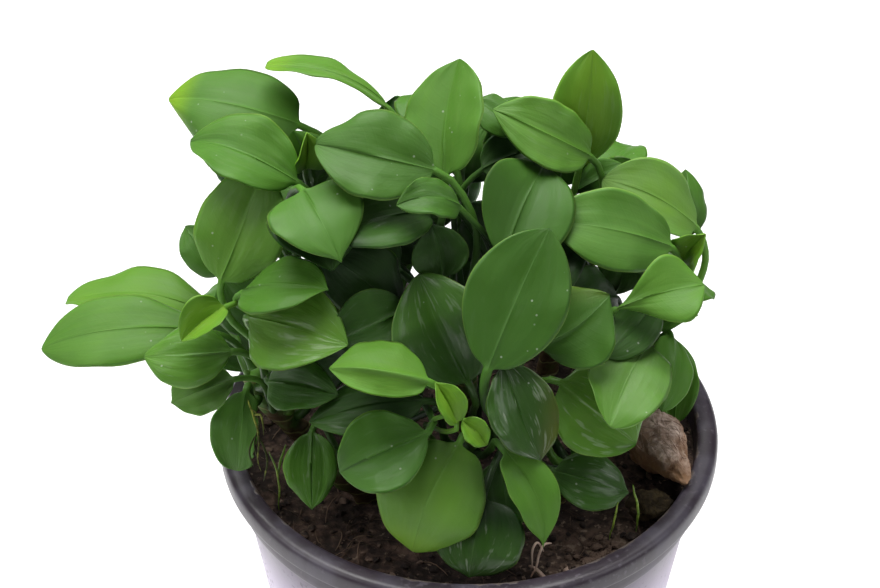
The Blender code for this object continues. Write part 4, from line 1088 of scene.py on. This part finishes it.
def makeFibres():
    look = peat
    tree = treeOf("soil")
    rng = random.Random(look["seed"] + 1)
    parts = []
    reach, steps = look["fibreReach"], look["fibreSteps"]
    for _ in range(look["fibres"]):
        radius = reach * math.sqrt(rng.uniform(0.0, 1.0))
        x, y = around(radius, rng.uniform(0, 2 * math.pi))
        heading = rng.uniform(0, 2 * math.pi)
        length = rng.uniform(2.0, 8.0) * mm
        bend = rng.uniform(-260, 260)
        path = []
        for step in range(steps + 1):
            spot = math.hypot(x, y)
            if spot > reach:
                x, y = x * reach / spot, y * reach / spot
            hump = math.sin(math.pi * step / steps) * length * 0.10
            path.append((x, y, peatTop(tree, x, y) + 0.12 * mm + hump))
            heading += bend * length / steps
            x += math.cos(heading) * length / steps
            y += math.sin(heading) * length / steps
        parts.append(strand(path, rng.uniform(0.05, 0.13) * mm, 6, rng.random()))
    addParts("peat-fibres", parts, fibreSkin("fibreSkin", look["fibreDark"], look["fibreLight"]))
    print("fibres strewn")


# ---- lumps of growing fibre, and roots

lumps = {
    "fibre_plug": {"dark": colour(0.32, 0.225, 0.175), "light": colour(0.70, 0.55, 0.47),
                   "foot": colour(0.36, 0.175, 0.065), "crumple": 0.55, "strands": 110, "seed": 5},
    "moss_lump": {"dark": colour(0.03, 0.021, 0.011), "light": colour(0.16, 0.115, 0.045),
                  "foot": colour(0.03, 0.021, 0.011), "crumple": 0.7, "strands": 60, "seed": 6},
}
roots = {
    "colour": colour(0.50, 0.36, 0.29), "dark": colour(0.27, 0.16, 0.11),
    "radius": 0.42 * mm, "wave": 0.25 * mm, "stations": 22, "sides": 12,
}


def makeLumps():
    for node, look in lumps.items():
        name = node.replace("_", "-")
        bm = cadMesh(node)
        low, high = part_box(node)
        bmesh.ops.subdivide_edges(bm, edges=bm.edges, cuts=4, use_grid_fill=True)
        evenOut(bm)
        bm.normal_update()
        for vert in bm.verts:
            at = vert.co / mm
            crease = max(0.0, 1 - 7 * abs(noise.noise(at * 0.17 + Vector((3, 1, 7)))))
            swell = noise.noise(at * 0.22) * 1.3 + noise.noise(at * 0.6) * 0.5 + noise.noise(at * 2.2) * 0.22
            vert.co += vert.normal * look["crumple"] * (swell - 0.9 * crease) * mm
        tree = BVHTree.FromBMesh(bm)
        points, faces = takeMesh(bm)
        finish = fibreSkin(name + "Skin", look["dark"], look["light"], 0.92, look["foot"])
        marks = {"chance": np.full(len(points), 0.5)}
        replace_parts(addPiece(name, points, outward(points, faces), finish, marks), node)
        rng = random.Random(look["seed"])
        middle = (low + high) / 2
        parts = []
        for _ in range(look["strands"]):
            out = Vector((rng.gauss(0, 1), rng.gauss(0, 1), abs(rng.gauss(0, 1)))).normalized()
            way = out.orthogonal().normalized()
            way.rotate(Matrix.Rotation(rng.uniform(0, 2 * math.pi), 3, out))
            path = []
            for step in range(7):
                ray = (out + way * (step - 3) * 0.16).normalized()
                hit = tree.ray_cast(middle + ray * 0.03, -ray)[0]
                if hit:
                    path.append(hit + ray * (0.02 + 0.18 * math.sin(step * 1.1) ** 2 * rng.random()) * mm)
            if len(path) > 3:
                parts.append(strand(path, rng.uniform(0.03, 0.08) * mm, 5, rng.random()))
        addParts(name + "-strands", parts, finish)
    print("lumps shaped")


def makeRoots():
    look = roots
    pale = fibreSkin("rootSkin", look["dark"], look["colour"], 0.5)
    for node in ("root_front", "root_right"):
        bm = cadMesh(node)
        low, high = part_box(node)
        axis = 0 if high.x - low.x > high.y - low.y else 1
        rows = sorted(np.array([vert.co for vert in bm.verts]).tolist(), key=lambda point: point[axis])
        bm.free()
        starts = range(0, len(rows) - 1, ringSize)
        groups = [np.array(rows[start:start + ringSize]).mean(0) for start in starts] + [np.array(rows[-1])]
        knots = np.linspace(0, 1, len(groups))
        path = smoothThrough(knots, groups, np.linspace(0, 1, look["stations"]))
        path[:, 2] += look["wave"] * np.sin(np.linspace(0, 7, look["stations"]))
        points, faces, marks = strand(path, look["radius"], look["sides"], 0.8)
        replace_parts(addPiece(node.replace("root_", "root-"), points, faces, pale, marks), node)
    print("roots laid")


# Small loose growth, each strand by its points in millimetres from the middle of the rim.
strays = {
    "shoots": {
        "slot": "leaf_light", "thick": 0.23, "taper": 0.6, "rough": 0.4,
        "dark": colour(0.08, 0.16, 0.012), "light": colour(0.26, 0.38, 0.05),
        "paths": (
            ((28.6, -26.8, -2.5), (28.5, -27.6, 2.5), (28, -27.9, 6), (27.2, -27.9, 9.6)),
            ((23.8, -28.6, -2.5), (24.2, -29.2, 1.5), (24.5, -29, 4.2), (24.9, -28.4, 6)),
            ((-33.2, -21, -2.5), (-32.9, -21.8, 3), (-33.2, -22, 8), (-34.2, -22, 11.8)),
            ((-33, -21.9, 6), (-32.5, -21.4, 8.6), (-31.4, -20.4, 11.8)),
        )},
    "witheredBits": {
        "slot": "moss", "thick": 0.2, "taper": 0.8, "rough": 0.7,
        "dark": colour(0.03, 0.04, 0.006), "light": colour(0.3, 0.34, 0.05),
        "paths": (
            ((-38.3, -13, 16), (-37, -17, 15.6), (-36, -20, 12.5), (-36.5, -21, 8.5)),
            ((-38, -13.5, 15), (-36.2, -16.5, 14), (-36.8, -19.5, 11), (-36, -20.5, 6)),
            ((-37, -17, 15.6), (-35.6, -18, 16.4), (-35.2, -20, 13.8)),
            ((-36.4, -18, 12), (-35.2, -19.5, 10.6), (-34.8, -21.5, 8.4), (-35.4, -22, 5)),
            ((-36.6, -19, 13), (-37.8, -20.5, 10.6), (-37.2, -21, 7.6)),
        )},
    "rootBits": {
        "slot": "root", "thick": 0.22, "taper": 0.5, "rough": 0.5,
        "dark": colour(0.36, 0.22, 0.16), "light": colour(0.72, 0.54, 0.44),
        "paths": (
            ((12.3, -34.6, 0.4), (11.2, -34.2, 2.3), (10.3, -35.2, 1.4), (10.1, -36.6, -1.6)),
            ((13.5, -33.4, 1.3), (12.2, -34.6, 1.9), (11.4, -36, 0.4), (10.2, -37.6, -2.4)),
        )},
}


def makeStrays():
    rng = random.Random(9)
    for name, look in strays.items():
        parts = []
        for knots in look["paths"]:
            knots = np.array(knots) * mm + np.array((0, 0, rimHeight))
            path = smoothThrough(np.linspace(0, 1, len(knots)), knots, np.linspace(0, 1, 26))
            wave = np.array([noise.noise_vector(Vector(point) * 420) for point in path]) * 0.22 * mm
            thick = look["thick"] * rng.uniform(0.8, 1.1) * mm
            parts.append(strand(path + wave, thick, 8, rng.random(), look["taper"]))
        finish = fibreSkin(name + "Skin", look["dark"], look["light"], look["rough"])
        addParts(name, parts, finish)
    print("loose growth added")


setStage()
makePot()
makePeat()
makeFibres()
makeLumps()
makeRoots()
makeStrays()
makePlant()

bpy.context.view_layer.update()
